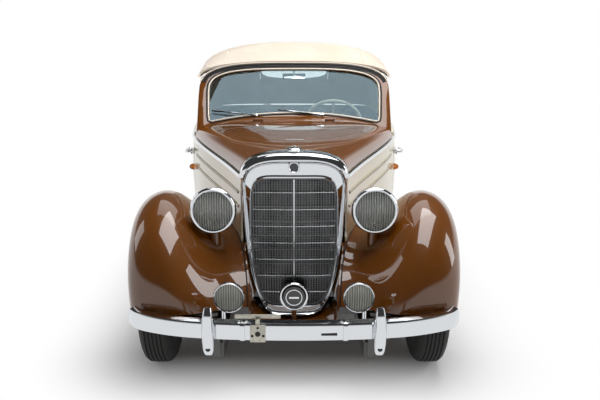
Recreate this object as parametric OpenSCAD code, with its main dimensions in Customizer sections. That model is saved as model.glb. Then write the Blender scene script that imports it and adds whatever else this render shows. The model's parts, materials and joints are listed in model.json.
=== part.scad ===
// Two-door convertible of about 1950: separate fenders, upright radiator shell, raised fabric top,
// tubular-armed front suspension and a swing rear axle on a kicked-up ladder frame.
// Millimetres, +Z up, the nose points to -Y and the driver sits on +X.

/* [Overall] */
// Length over the bumper guards
length = 4500; // [4400:10:4600]
// Distance between the axles
wheelbase = 2845; // [2780:5:2900]
// Front axle behind the tip of the front bumper guards
front_overhang = 700; // [690:5:730]
// Top of the raised fabric top above the ground
roof_z = 1557; // [1530:1:1590]
// Sheet thickness of the pressed panels
skin = 9; // [7:0.5:12]
// Gap round every panel that opens
panel_gap = 6; // [5:0.5:8]
// Clearance between fixed pieces that seat on each other
seat_gap = 0.4; // [0.3:0.1:0.6]

/* [Wheels] */
// Outer diameter of the tyres
tyre_d = 680; // [670:1:690]
// Width of the tyres
tyre_w = 150; // [140:1:160]
// Diameter of the rim at its bead
rim_d = 384; // [375:1:395]
// Distance between the front tyres' middles
front_track = 1315; // [1300:1:1330]
// Distance between the rear tyres' middles
rear_track = 1420; // [1405:1:1435]
// Kingpin inboard of the tyre's middle
kingpin_inset = 57; // [50:1:64]
// Radius of the stub axles that carry the wheels
spindle_r = 18; // [15:0.5:20]

/* [Fenders] */
// Radius of the front wheel openings
front_arch_r = 385; // [380:1:395]
// Radius of the rear wheel openings
rear_arch_r = 372; // [368:1:380]
// Width over the rear fenders, the widest part of the car
rear_width = 1684; // [1670:2:1700]
// Width over the front fenders at the wheel openings
front_width = 1540; // [1524:2:1556]

/* [Body] */
// Height of the belt line at the radiator shell
belt_front_z = 963; // [955:1:972]
// Height of the belt line along the doors
belt_z = 985; // [978:1:992]
// Length of the bonnet lid from the radiator shell to the cowl
hood_len = 1090; // [1070:5:1110]
// Width of the body at the front edge of the bonnet
nose_w = 516; // [508:2:524]
// Width of the body across the cowl
cowl_w = 1230; // [1210:2:1250]
// Greatest width of the body at the belt line of the doors
body_w = 1380; // [1360:2:1400]
// Length of the doors
door_len = 1140; // [1110:5:1165]
// Thickness of the doors
door_t = 40; // [34:1:46]
// Rake of the windscreen from the vertical, in degrees
screen_rake = 33; // [31:0.5:35]
// Thickness of the windscreen frame
screen_t = 40; // [34:1:46]
// Height of the windscreen frame's crown above the ground
screen_top_z = 1432; // [1424:1:1440]

/* [Front] */
// Top of the radiator shell above the ground
shell_top_z = 1074; // [1066:1:1082]
// Bottom of the radiator shell above the ground
shell_bottom_z = 262; // [256:1:268]
// Depth of the radiator shell
shell_depth = 88; // [80:1:96]
// Vertical bars in each half of the grille
grille_bars = 15; // [10:1:20]
// Horizontal bars of the grille
grille_rows = 8; // [6:1:10]
// Outer diameter of the headlamp rims
headlamp_d = 220; // [208:1:232]
// Distance between the headlamps' middles
headlamp_spread = 752; // [740:2:764]
// Height of the headlamps' middles
headlamp_z = 813; // [806:1:820]
// Outer diameter of the fog lamps
foglamp_d = 138; // [130:1:146]
// Height of the front bumper's middle
bumper_z = 414; // [408:1:420]
// Height of the bumper blades
bumper_h = 84; // [76:1:92]

/* [Steering] */
// Radius of the steering wheel
steering_r = 205; // [195:1:215]
// Sideways place of the steering wheel
steering_x = 262; // [255:1:280]

/* [Hidden] */
$fn = 48;
brown = "#8a5318";
cream = "#e6dcb8";
chrome = "#c9ced4";
black = "#2a2a2c";
steel = "#5b5d60";
rubber = "#232325";
leather = "#b98a52";
fabric = "#e3d3ba";
amber = "#d9801c";
lens = "#dfe4e2";

// Key stations along the car
y_front = -length / 2;
y_f = y_front + front_overhang;
y_r = y_f + wheelbase;
y_tail = length / 2 - 95;
axle_z = tyre_d / 2;
hood_front = y_f - 40;
hood_rear = hood_front + hood_len;
cowl_len = 100;
door_front = hood_rear + cowl_len;
door_rear = door_front + door_len;
top_rear = y_r + 110;
tail_len = y_tail - top_rear;

// Heights
sill_z = 360;          // lower edge of the doors
tub_z = 318;           // lower edge of the body sides
floor_z = 336;         // top of the floor
floor_t = 16;
rail_top_z = 320;      // top of the frame's side rails, and the floor's underside
door_top_z = belt_z + 15;
top_side_z = 1338;     // side edge of the fabric top over the door windows

// Smooth curve through the rows of a table whose first column is the place, by cubic pieces
function row_at(tab, x, i = 0) = (i >= len(tab) - 2 || x < tab[i + 1][0]) ? i : row_at(tab, x, i + 1);
function chord(tab, a, b, c) = (tab[b][c] - tab[a][c]) / (tab[b][0] - tab[a][0]);
function slope(tab, i, c) = chord(tab, max(i - 1, 0), min(i + 1, len(tab) - 1), c);
function track(tab, x, c = 1) = let (
    i = row_at(tab, x), h = tab[i + 1][0] - tab[i][0],
    t = min(1, max(0, (x - tab[i][0]) / h)))
    (2 * t ^ 3 - 3 * t ^ 2 + 1) * tab[i][c] + (t ^ 3 - 2 * t ^ 2 + t) * h * slope(tab, i, c)
    + (3 * t ^ 2 - 2 * t ^ 3) * tab[i + 1][c] + (t ^ 3 - t ^ 2) * h * slope(tab, i + 1, c);
function mix(a, b, t) = a + (b - a) * t;
function ease(t) = let (s = min(1, max(0, t))) s * s * (3 - 2 * s);
function spread(a, b, n) = [for (i = [0:n]) mix(a, b, i / n)];
function unit(v) = v / norm(v);

// Plan of the body: [station, half width at the belt line]
plan_rows = [
    [y_f - 430, nose_w / 2 - 62],
    [hood_front, nose_w / 2],
    [hood_rear, cowl_w / 2],
    [mix(door_front, door_rear, 0.45), body_w / 2],
    [door_rear, body_w / 2],
    [y_r, body_w / 2 - 35],
    [mix(y_r, y_tail, 0.5), body_w / 2 - 110],
    [y_tail, body_w / 2 - 250]];
function plan(y) = track(plan_rows, y);

// Belt line: rising along the bonnet, level from the cowl on
function belt(y) = mix(belt_front_z, belt_z, min(1, max(0, (y - hood_front) / hood_len)));

// Body side: vertical at the bonnet, rounded at the doors and behind them
swell = 18;            // how far the door swells beyond the belt line
tuck = 46;             // how far the sill tucks in below it
swell_z = 760;
function rounding(z) = z < swell_z ? swell - (swell + tuck) * ((swell_z - z) / (swell_z - tub_z)) ^ 2
    : swell * (1 - ((z - swell_z) / (belt_z - swell_z)) ^ 2);
function side_x(y, z) = plan(y) + ease((y - hood_rear) / 260) * rounding(min(z, belt_z));

// Windscreen plane: the station of its front face at height z
screen_foot_y = hood_rear + 4;  // where the front face meets the belt line
screen_lean = tan(screen_rake);
function screen_y(z) = screen_foot_y + (z - belt_z) * screen_lean;
function screen_back(z) = screen_y(z) + screen_t / cos(screen_rake);

// Tail of the body: [share of the way from the top to the tail, deck height, shoulder height, squareness]
tail_rows = [
    [0, belt_z + 18, belt_z - 10, 5],
    [0.28, belt_z + 3, belt_z - 55, 4],
    [0.56, belt_z - 50, belt_z - 135, 3.2],
    [0.79, belt_z - 165, belt_z - 260, 3],
    [0.91, belt_z - 295, belt_z - 385, 2.8],
    [0.975, belt_z - 465, belt_z - 535, 2.6],
    [1, tub_z + 6, tub_z + 3, 2.5]];
// The same way measured along the curve of the tail
tail_walk = [[0, 0], [0.2, 0.28], [0.42, 0.56], [0.62, 0.79], [0.78, 0.91], [0.91, 0.975], [1, 1]];
function tail_y(u) = top_rear + tail_len * track(tail_walk, u);
function tail_share(y) = (y - top_rear) / tail_len;
function deck_z(y) = track(tail_rows, tail_share(y), 1);
function shoulder_z(y) = y <= top_rear ? belt_z : track(tail_rows, tail_share(y), 2);
function square_n(y) = track(tail_rows, tail_share(y), 3);
// Point of the deck at station y, a running from 0 at the right shoulder to 180 at the left one
function deck_point(y, a) = let (
    zs = shoulder_z(y), zt = deck_z(y), n = square_n(y), xs = side_x(y, zs),
    c = cos(a), s = sin(a))
    [sign(c) * xs * abs(c) ^ (2 / n), y, zs + (zt - zs) * abs(s) ^ (2 / n)];
// Half width of the tub at a station and height
function tub_x(y, z) = let (zs = shoulder_z(y)) (z <= zs) ? side_x(y, z)
    : side_x(y, zs) * max(0, 1 - min(1, (z - zs) / (deck_z(y) - zs)) ^ square_n(y)) ^ (1 / square_n(y));

// Sheets: an outer and an inner grid of points with a rim wherever a cell has no neighbour.
// gaps lists openings as [first row, last row, first column, last column] of missing cells.
function hit(g, i, j) = i >= g[0] && i <= g[1] && j >= g[2] && j <= g[3];
function open_cell(gaps, i, j) = len([for (g = gaps) if (hit(g, i, j)) 1]) > 0;
module sheet(outer, inner, gaps = []) {
    m = len(outer);
    n = len(outer[0]);
    function there(i, j) = i >= 0 && j >= 0 && i < m - 1 && j < n - 1 && !open_cell(gaps, i, j);
    function quad(a, b, c, d) = [[a, c, b], [a, d, c]];
    function o(i, j) = i * n + j;
    function p(i, j) = m * n + i * n + j;
    cells = [for (i = [0:m - 2], j = [0:n - 2]) if (there(i, j)) [i, j]];
    faces = [for (q = cells) let (i = q[0], j = q[1]) each concat(
        quad(o(i, j), o(i + 1, j), o(i + 1, j + 1), o(i, j + 1)),
        quad(p(i, j), p(i, j + 1), p(i + 1, j + 1), p(i + 1, j)),
        there(i - 1, j) ? [] : quad(o(i, j), o(i, j + 1), p(i, j + 1), p(i, j)),
        there(i + 1, j) ? [] : quad(o(i + 1, j + 1), o(i + 1, j), p(i + 1, j), p(i + 1, j + 1)),
        there(i, j - 1) ? [] : quad(o(i + 1, j), o(i, j), p(i, j), p(i + 1, j)),
        there(i, j + 1) ? [] : quad(o(i, j + 1), o(i + 1, j + 1), p(i + 1, j + 1), p(i, j + 1)))];
    polyhedron([each [for (r = outer) each r], each [for (r = inner) each r]], faces, convexity = 6);
}
// The grid moved by t along its own normals
function normal(g, i, j) = let (m = len(g) - 1, n = len(g[0]) - 1)
    unit(cross(g[min(i + 1, m)][j] - g[max(i - 1, 0)][j], g[i][min(j + 1, n)] - g[i][max(j - 1, 0)]));
function sunk(g, t) = [for (i = [0:len(g) - 1]) [for (j = [0:len(g[0]) - 1]) g[i][j] - t * normal(g, i, j)]];
function sized(g, t) = [for (r = g) [for (p = r) [p[0] - t, p[1], p[2]]]];

// A solid through closed sections of equal point counts; ring closes the last section onto the first
module loft(sections, ring = false) {
    m = len(sections);
    n = len(sections[0]);
    last = ring ? m - 1 : m - 2;
    skin_faces = [for (i = [0:last], j = [0:n - 1]) let (
        a = i * n + j, b = i * n + (j + 1) % n, c = ((i + 1) % m) * n + (j + 1) % n, d = ((i + 1) % m) * n + j)
        each [[a, c, b], [a, d, c]]];
    top = (m - 1) * n;
    caps = ring ? [] : [for (j = [1:n - 2]) each [[0, j, j + 1], [top, top + j + 1, top + j]]];
    polyhedron([for (s = sections) each s], concat(skin_faces, caps), convexity = 6);
}
module both_sides() {
    children();
    mirror([1, 0, 0]) children();
}
module place(side) {
    if (side > 0) children();
    else mirror([1, 0, 0]) children();
}
// Moves children from the origin, standing along +Z, to point p, standing along n
module stand_on(p, n) {
    z = unit(n);
    x = unit(cross(abs(z[2]) < 0.9 ? [0, 0, 1] : [1, 0, 0], z));
    y = cross(z, x);
    multmatrix([[x[0], y[0], z[0], p[0]], [x[1], y[1], z[1], p[1]], [x[2], y[2], z[2], p[2]], [0, 0, 0, 1]])
        children();
}

// Fenders: sections in planes through the axle line, turned by an angle from straight ahead.
// Rows: [angle, crown radius, crown x, inner edge radius, x at the wheel opening]
front_out = front_width / 2;
front_fender_rows = [
    [9, 505, 500, 340, front_out - 32],
    [30, 520, 560, 300, front_out - 16],
    [60, 522, 600, 262, front_out - 4],
    [90, 519, 622, 290, front_out],
    [112, 528, 632, 338, front_out],
    [130, 556, 640, 430, front_out],
    [146, 620, 655, 525, front_out],
    [159, 742, 675, 665, front_out],
    [169, 910, 695, 840, front_out],
    [177, 1110, 712, 1072, front_out]];
rear_out = rear_width / 2;
rear_fender_rows = [
    [4, 500, 748, 440, rear_out - 14],
    [30, 505, 755, 432, rear_out - 6],
    [60, 503, 756, 426, rear_out],
    [90, 500, 750, 426, rear_out],
    [115, 512, 738, 436, rear_out],
    [135, 547, 718, 468, rear_out - 2],
    [150, 605, 692, 520, rear_out - 6],
    [163, 692, 652, 610, rear_out - 10],
    [172, 775, 610, 702, rear_out - 14],
    [178, 822, 575, 762, rear_out - 16]];
function polar(y0, a, r) = [y0 - r * cos(a), axle_z + r * sin(a)];
// Half width of the wall that a fender's inner edge meets
function wall_x(y0, a, r) = let (p = polar(y0, a, r))
    y0 == y_f ? plan(p[0]) + seat_gap : tub_x(p[0], p[1]) + 2 * seat_gap;
crown_share = 0.5;     // share of a section's points on the inner flank
// Point of a fender's skin, s running from 0 at the inner edge over 0.5 at the crown to 1 at the opening
function fender_xr(rows, y0, arch, a, s) = let (
    rc = track(rows, a, 1), xc = track(rows, a, 2), ri = track(rows, a, 3), xo = track(rows, a, 4),
    xi = wall_x(y0, a, ri), f = s / crown_share, q = 90 * (s - crown_share) / (1 - crown_share))
    s <= crown_share ? [mix(xi, xc, f), ri + (rc - ri) * (1 - cos(180 * f ^ 1.15)) / 2]
        : [mix(xc, xo, sin(q) ^ 0.95), mix(arch, rc, cos(q) ^ 0.95)];
function fender_point(rows, y0, arch, a, s) = let (
    xr = fender_xr(rows, y0, arch, a, s), yz = polar(y0, a, xr[1])) [xr[0], yz[0], yz[1]];
function fender_normal(rows, y0, arch, a, s) = let (d = 0.02)
    unit(cross(fender_point(rows, y0, arch, a, s + d) - fender_point(rows, y0, arch, a, s - d),
        fender_point(rows, y0, arch, a + 1, s) - fender_point(rows, y0, arch, a - 1, s)));
// Inner skin: moved in the section's own plane, flush with the wall at the inner edge
function fender_sunk(rows, y0, arch, a, s, t) = let (
    d = 0.02, q0 = fender_xr(rows, y0, arch, a, max(0, s - d)), q1 = fender_xr(rows, y0, arch, a, min(1, s + d)),
    g = unit(q1 - q0), xr = fender_xr(rows, y0, arch, a, s),
    m = s == 0 ? [0, -t] : s == 1 ? [-t, 0] : [g[1] * t, -g[0] * t],
    r = xr[1] + m[1], yz = polar(y0, a, r)) [s == 0 ? wall_x(y0, a, r) : xr[0] + m[0], yz[0], yz[1]];
front_cells = 12;
rear_cells = 10;
module fender(rows, y0, arch, angles, cells) {
    ss = spread(0, 1, cells);
    sheet([for (s = ss) [for (a = angles) fender_point(rows, y0, arch, a, s)]],
        [for (s = ss) [for (a = angles) fender_sunk(rows, y0, arch, a, s, skin)]]);
}
front_angles = [9, 17, 26, 35, 44, 53, 62, 71, 80, 90, 100, 110, 120, 130, 138, 146, 153, 159, 164, 169, 173, 177];
rear_angles = [4, 15, 27, 40, 53, 66, 79, 92, 104, 115, 125, 135, 143, 150, 157, 163, 168, 172, 175, 178];
module front_fender() {
    color(brown) fender(front_fender_rows, y_f, front_arch_r, front_angles, front_cells);
}
module rear_fender() {
    color(brown) fender(rear_fender_rows, y_r, rear_arch_r, rear_angles, rear_cells);
}

// Valley between the fenders under the radiator shell
apron_front = y_f - 338;
apron_back = hood_front - 7;
apron_floor_z = shell_bottom_z - 22;
function flank_z(y) = let (t = (y - apron_front) / (apron_back - apron_front))
    track([[0, 393], [0.28, 488], [0.72, 566], [1, 604]], t);
function apron_point(y, a) = let (
    n = 3.1, c = cos(a), s = sin(a), w = plan(y) - skin - 1, top = flank_z(y),
    low = apron_floor_z + 14 * ease((y - apron_front) / 200))
    [sign(c) * w * abs(c) ^ (2 / n), y, top - (top - low) * abs(s) ^ (2 / n)];
module front_apron() {
    ys = spread(apron_front, apron_back, 5);
    as = [for (k = [0:18]) k * 10];
    grid = [for (y = ys) [for (a = as) apron_point(y, a)]];
    color(brown) sheet(grid, sunk(grid, skin));
}

// Radiator shell: a ring between an outer and an inner outline, rounded at its front
shell_y = hood_front - seat_gap - shell_depth;   // foremost ring of the shell
shell_mid_z = belt_front_z + panel_gap / 2;   // the arch above it is the front edge of the bonnet
shell_rows = [[shell_bottom_z, 182], [380, 198], [600, 231], [900, nose_w / 2 - 3],
    [shell_top_z, nose_w / 2 - 1]];
mesh_top_z = shell_top_z - 122;
mesh_bottom_z = shell_bottom_z + 56;
mesh_rows = [[mesh_bottom_z, 160], [400, 178], [585, 205], [880, 203], [mesh_top_z, 200]];
vee = 12;              // how far the middle of the grille stands forward
hood_n = 2.5;          // roundness of the arch at the front of the bonnet
function outline(rows, top, bottom, mid, nt, nb, a) = let (
    s = sin(a), n = s > 0 ? nt : nb, h = s > 0 ? top - mid : mid - bottom,
    z = mid + sign(s) * h * abs(s) ^ (2 / n), w = track(rows, z))
    [sign(cos(a)) * w * abs(cos(a)) ^ (2 / n), z];
function shell_at(a) = outline(shell_rows, shell_top_z, shell_bottom_z, shell_mid_z, hood_n, 5, a);
function mesh_at(a) = outline(mesh_rows, mesh_top_z, mesh_bottom_z, 640, 8, 6, a);
// [share of the way from outer to inner outline, depth behind the front]
shell_profile = [[0.14, shell_depth], [0.4, 52], [1, 40], [1, 16], [0.94, 12], [0.88, 17], [0.44, 17], [0.38, 4],
    [0.26, -3], [0.12, 2], [0.03, 13], [0, 32], [0, shell_depth]];
shell_angles = [for (k = [0:47]) let (q = k * 7.5) q + 4.5 * sin(2 * q)];
function pointed(x, w) = vee * max(0, 1 - abs(x) / w);
module radiator_shell() {
    color(chrome) loft([for (a = shell_angles) let (o = shell_at(a), i = mesh_at(a))
        [for (p = shell_profile) let (x = mix(o[0], i[0], p[0]), z = mix(o[1], i[1], p[0]))
            [x, shell_y + p[1] - (p[1] < shell_depth ? pointed(x, 200) : 0), z]]], ring = true);
}

// Grille: two flat halves that meet at a middle bar, standing forward in the middle
grille_t = 10;
bar_w = 4;
grille_edge = 5;
function mesh_outline(shrink) = [for (q = [-90:7.5:90]) let (a = q + 4.5 * sin(2 * q), p = mesh_at(a))
    [max(0, p[0] - shrink * min(1, p[0] / 40)), p[1] - shrink * sign(sin(a)) * min(1, abs(sin(a)) * 3)]];
module grille_half() {
    pitch = 200 / (grille_bars + 0.5);
    rise = (mesh_top_z - mesh_bottom_z) / (grille_rows + 1);
    rotate([0, 0, atan(vee / 200)]) rotate([90, 0, 0]) linear_extrude(grille_t) union() {
        difference() {
            polygon(mesh_outline(0.6));
            polygon(mesh_outline(0.6 + grille_edge));
        }
        intersection() {
            polygon(mesh_outline(2));
            union() {
                square([bar_w * 1.6, mesh_top_z]);
                for (k = [1:grille_bars]) translate([k * pitch - bar_w / 2, 0]) square([bar_w, mesh_top_z]);
                for (k = [1:grille_rows]) translate([0, mesh_bottom_z + k * rise - 2.5]) square([220, 5]);
            }
        }
    }
}
module grille() {
    color(steel) translate([0, shell_y + 36 - vee, 0]) both_sides() grille_half();
}

// Bonnet lid: arched sections between the belt lines
hood_edge = panel_gap / 2;
function hood_crown(y) = mix(shell_top_z - 2, belt_z + 98, (y - hood_front) / hood_len)
    + 14 * sin(180 * (y - hood_front) / hood_len);
function hood_point(y, a) = let (
    n = mix(hood_n, 2.9, (y - hood_front) / hood_len), c = cos(a), s = sin(a), zb = belt(y) + hood_edge)
    [sign(c) * plan(y) * abs(c) ^ (2 / n), y, zb + (hood_crown(y) - zb) * abs(s) ^ (2 / n)];
arch_angles = [0, 7, 16, 27, 39, 52, 65, 78, 90, 102, 115, 128, 141, 153, 164, 173, 180];
module hood_lid() {
    ys = spread(hood_front + panel_gap, hood_rear - panel_gap / 2, 12);
    grid = [for (y = ys) [for (a = arch_angles) hood_point(y, a)]];
    color(brown) sheet(grid, sunk(grid, skin));
}
// Barrel hinges: an eye on the moving panel round a pin held by two lugs on the fixed one
pin_r = 3;
barrel_r = 7;
pin_gap = 0.05;
eye_len = 36;
lug_len = 14;
leaf = 45;             // reach of the hinge leaves along the panel
module eye(arm) {
    difference() {
        union() {
            cylinder(h = eye_len, r = barrel_r, center = true);
            translate([arm[0], arm[1], -eye_len / 2]) cube([arm[2], arm[3], eye_len]);
        }
        cylinder(h = eye_len + 2, r = pin_r + pin_gap, center = true);
    }
}
module lugs(arm) {
    for (k = [-1, 1]) translate([0, 0, k * (eye_len / 2 + 0.5 + lug_len / 2)]) union() {
        cylinder(h = lug_len, r = barrel_r, center = true);
        translate([arm[0], arm[1], -lug_len / 2]) cube([arm[2], arm[3], lug_len]);
    }
    cylinder(h = eye_len + 2 * lug_len, r = pin_r, center = true);
}
// Turns a hinge drawn upright so that its pin lies across the car, its own x pointing to +Y and y to +Z
module across() {
    multmatrix([[0, 0, 1, 0], [1, 0, 0, 0], [0, 1, 0, 0], [0, 0, 0, 1]]) children();
}

// Bonnet hinges on top of the cowl's front edge
function hood_z(y, x) = let (n = mix(hood_n, 2.9, (y - hood_front) / hood_len), zb = belt(y) + hood_edge)
    zb + (hood_crown(y) - zb) * (1 - (abs(x) / plan(y)) ^ n) ^ (1 / n);
hood_hinge_x = 226;
hood_pivot = [0, hood_rear, hood_crown(hood_rear) + barrel_r + 3];
module hood_hinges() {
    foot = hood_z(hood_rear - leaf, hood_hinge_x - eye_len / 2) + seat_gap - hood_pivot[2];
    color(brown) both_sides() translate([hood_hinge_x, hood_pivot[1], hood_pivot[2]]) across()
        eye([-leaf, foot, leaf, 4]);
}
module cowl_hinges() {
    reach = 16;
    foot = cowl_z(hood_hinge_x - eye_len / 2 - lug_len, reach) - 0.7 - hood_pivot[2];
    color(brown) both_sides() translate([hood_hinge_x, hood_pivot[1], hood_pivot[2]]) across()
        lugs([0, foot, reach, barrel_r - foot]);
}

// Bonnet sides
module side_panel(ys, zs, t) {
    grid = [for (y = ys) [for (z = zs) [side_x(y, z), y, z]]];
    sheet(grid, sized(grid, t));
}
hood_low_z = 375;
side_ys = spread(hood_front, hood_rear - seat_gap, 11);
module hood_sides() {
    grid = [for (y = side_ys) [for (z = [hood_low_z, belt(y) - hood_edge]) [plan(y), y, z]]];
    color(cream) both_sides() {
        sheet(grid, sized(grid, skin));
        for (d = side_ribs) side_rib(d);
    }
}
// Half-round ribs along the bonnet sides, set off from the belt line
side_ribs = [104, 174];
rib_w = 11;
rib_t = 5;
module side_rib(drop) {
    ys = concat([hood_front + 45], [for (y = side_ys) if (y > hood_front + 60 && y < hood_rear - 60) y],
        [hood_rear - 20]);
    loft([for (y = ys) let (x = plan(y) + seat_gap, z = belt(y) - drop)
        [[x, y, z - rib_w / 2], [x, y, z + rib_w / 2], [x + rib_t, y, z + rib_w * 0.25],
        [x + rib_t, y, z - rib_w * 0.25]]]);
}

// Cowl: the strip between the bonnet and the windscreen, and the sides below it
pillar_t = 18;         // thickness of the pillars in front of the doors
cowl_n = 2.3;
cowl_crown = belt_z + 119;
cowl_front = hood_rear + panel_gap / 2;
function cowl_back(a) = let (
    c = cos(a), s = sin(a), zb = belt_z + hood_edge, z = zb + (cowl_crown - zb) * abs(s) ^ (2 / cowl_n))
    [sign(c) * (plan(screen_foot_y) - 1) * abs(c) ^ (2 / cowl_n), screen_y(z) - 0.6, z];
function cowl_point(a, v) = let (f = hood_point(hood_rear, a), b = cowl_back(a))
    [mix(f[0], b[0], v), mix(cowl_front, b[1], v), mix(f[2], b[2], v)];
function cowl_z(x, dy) = hood_z(hood_rear, x)
    + (cowl_crown - hood_crown(hood_rear)) * dy / (screen_y(cowl_crown) - cowl_front);
module cowl_top() {
    vs = [0, 0.33, 0.66, 1];
    grid = [for (v = vs) [for (a = arch_angles) cowl_point(a, v)]];
    low = [for (v = vs) [for (a = arch_angles) let (s = abs(sin(a)))
        cowl_point(a, v) - skin * [cos(a), screen_lean * s * v, s]]];
    color(brown) sheet(grid, low);
}
module cowl_sides() {
    color(cream) both_sides() side_panel([hood_rear, hood_rear + 32, hood_rear + 64, door_front - panel_gap],
        [tub_z, 420, 520, 620, 720, 820, 900, belt_z], pillar_t);
}
module firewall() {
    y = hood_rear + 40;
    hw = side_x(y, tub_z) - pillar_t - 1.5 * seat_gap;
    color(steel) difference() {
        translate([-hw, y, rail_top_z + 0.2]) cube([2 * hw, 6, 560]);
        translate([-tunnel_w / 2, y - 1, rail_top_z - 1]) cube([tunnel_w, 8, tunnel_h + 1]);
    }
}

// Windscreen: a flat frame with a crowned head, leaning back
screen_low = screen_t * screen_lean + 1;
module on_screen() {
    multmatrix([[1, 0, 0, 0], [0, sin(screen_rake), -cos(screen_rake), screen_foot_y],
        [0, cos(screen_rake), sin(screen_rake), belt_z], [0, 0, 0, 1]]) children();
}
function up_screen(z) = (z - belt_z) / cos(screen_rake);
screen_hw = cowl_w / 2 - 2;
screen_steps = [for (k = [0:24]) k * 7.5];
function crown_arc(hw, z0, z1, n) = [for (a = screen_steps) let (c = cos(a), s = sin(a))
    [sign(c) * hw * abs(c) ^ (2 / n), up_screen(z0 + (z1 - z0) * s ^ (2 / n))]];
function screen_outline() = concat([[-screen_hw, screen_low], [screen_hw, screen_low]],
    crown_arc(screen_hw, 1230, screen_top_z, 3.4));
// The clear opening: a sill that drops to the corners and a crowned head
function sill(x) = belt_z + 137 - 54 * (x / 532) ^ 2;
function opening_outline(d) = concat(
    [for (k = [-10:10]) let (x = k * 52) [x, up_screen(sill(x) + d)]],
    [[540 - d, up_screen(sill(540) + 12 + d)], [546 - d, up_screen(sill(546) + 40 + d)]],
    crown_arc(554 - d, 1240, screen_top_z - 36 - d, 3.4),
    [[-546 + d, up_screen(sill(546) + 40 + d)], [-540 + d, up_screen(sill(540) + 12 + d)]]);
module windscreen_frame() {
    color(brown) on_screen() translate([0, 0, -screen_t]) linear_extrude(screen_t) difference() {
        polygon(screen_outline());
        polygon(opening_outline(0));
    }
}
module windscreen_glass() {
    color(lens, 0.4) on_screen() translate([0, 0, -20]) linear_extrude(6) polygon(opening_outline(0.5));
}
wiper_x = [-238, 182];
wiper_len = 285;
module wipers() {
    color(chrome) for (x = wiper_x) on_screen() translate([x, up_screen(sill(x)) - 7, seat_gap]) {
        cylinder(h = 16, r = 8);
        translate([0, 0, 10]) rotate([0, 0, 174]) translate([0, -3, 0]) cube([wiper_len * 0.62, 6, 4]);
        translate([0, 0, 5]) rotate([0, 0, 173]) translate([wiper_len * 0.25, -3, 0]) cube([wiper_len * 0.75, 6, 6]);
    }
}
module mirror_inside() {
    color(chrome) on_screen() translate([0, up_screen(screen_top_z - 18), -screen_t - seat_gap]) {
        translate([-10, -8, -6]) cube([20, 16, 6]);
        translate([-4, -46, -14]) cube([8, 46, 8]);
        translate([-75, -72, -22]) cube([150, 42, 8]);
    }
}

// Doors, hinged at their rear edge
door_ys = spread(door_front, door_rear - panel_gap, 10);
module door(side) {
    color(cream) place(side) side_panel(door_ys, [sill_z, 430, 510, 590, 670, 750, 830, 910, belt_z, door_top_z], door_t);
}
door_pivot = [side_x(door_rear, 880) + barrel_r + 3, door_rear - panel_gap / 2];
door_hinge_zs = [640, 880];
// Widest place of the body side behind a hinge leaf
function hinge_foot(y, z) = max([for (dy = [0, leaf], dz = [-1, 0, 1]) side_x(y + dy, z + dz * eye_len / 2)]);
module door_hinges(side) {
    color(chrome) place(side) for (z = door_hinge_zs) {
        foot = hinge_foot(door_rear - leaf, z) + seat_gap;
        translate([door_pivot[0], door_pivot[1], z]) eye([foot - door_pivot[0], -leaf, 5, leaf]);
    }
}
module pillar_hinges() {
    color(chrome) both_sides() for (z = door_hinge_zs) {
        foot = hinge_foot(door_rear, z) + 2 * seat_gap;
        translate([door_pivot[0], door_pivot[1], z]) lugs([foot - door_pivot[0], 0, 5, leaf]);
    }
}
glass_top_z = top_side_z - 10;
function rail_x(y) = plan(y) - 42;
function glass_front(z) = max(screen_back(z) + 25, door_front + 16);
function glass_rear(z) = door_rear - 26 - 30 * ((z - door_top_z) / (glass_top_z - door_top_z)) ^ 2;
module door_glass(side) {
    zs = spread(door_top_z + seat_gap, glass_top_z, 4);
    grid = [for (k = [0:8]) [for (z = zs) let (
        y = mix(glass_front(z), glass_rear(z), k / 8), t = (z - door_top_z) / (glass_top_z - door_top_z))
        [mix(plan(y) - 18, rail_x(y) - 14, t), y, z]]];
    color(lens, 0.4) place(side) sheet(grid, sized(grid, 6));
}
handle_y = door_front + 75;
handle_z = 868;
handle_r = 21;
module door_handle(side) {
    x = side_x(handle_y + 0.6 * handle_r, handle_z - 0.6 * handle_r) + seat_gap;
    color(chrome) place(side) translate([x, handle_y, handle_z]) union() {
        rotate([0, 90, 0]) cylinder(h = 6, r = handle_r);
        rotate([0, 90, 0]) cylinder(h = 42, r = 10);
        translate([30, -14, -9]) cube([14, 128, 18]);
    }
}

module door_fittings(side) {
    door_hinges(side);
    door_handle(side);
    door_trim(side);
}

// Tub: body sides behind the doors, the rear deck and the tail, with the luggage opening
lid_u = [0.1, 0.9];
lid_a = [38, 142];
deck_angles = [0, 10, 20, 29, lid_a[0], 50, 62, 76, 90, 104, 118, 130, lid_a[1], 151, 160, 170, 180];
side_levels = [tub_z, 510, 620, 688, 790, 890, 2000];
side_shares = [0, 0.34, 0.52, 0.64, 0.76, 0.88, 1];
function side_level(y, k) = min(side_levels[k], mix(tub_z, shoulder_z(y), side_shares[k]));
tub_ys = concat([door_rear, y_r - 350, y_r - 300, y_r - 200, y_r - 70, y_r + 40, top_rear],
    [for (u = [lid_u[0], 0.19, 0.27, 0.35, 0.43, 0.51, 0.59, 0.67, 0.75, 0.83, lid_u[1], 0.955, 1]) tail_y(u)]);
function tub_row(y) = concat(
    [for (k = [0:5]) let (z = side_level(y, k)) [side_x(y, z), y, z]],
    [for (a = deck_angles) deck_point(y, a)],
    [for (k = [5:-1:0]) let (z = side_level(y, k)) [-side_x(y, z), y, z]]);
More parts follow.
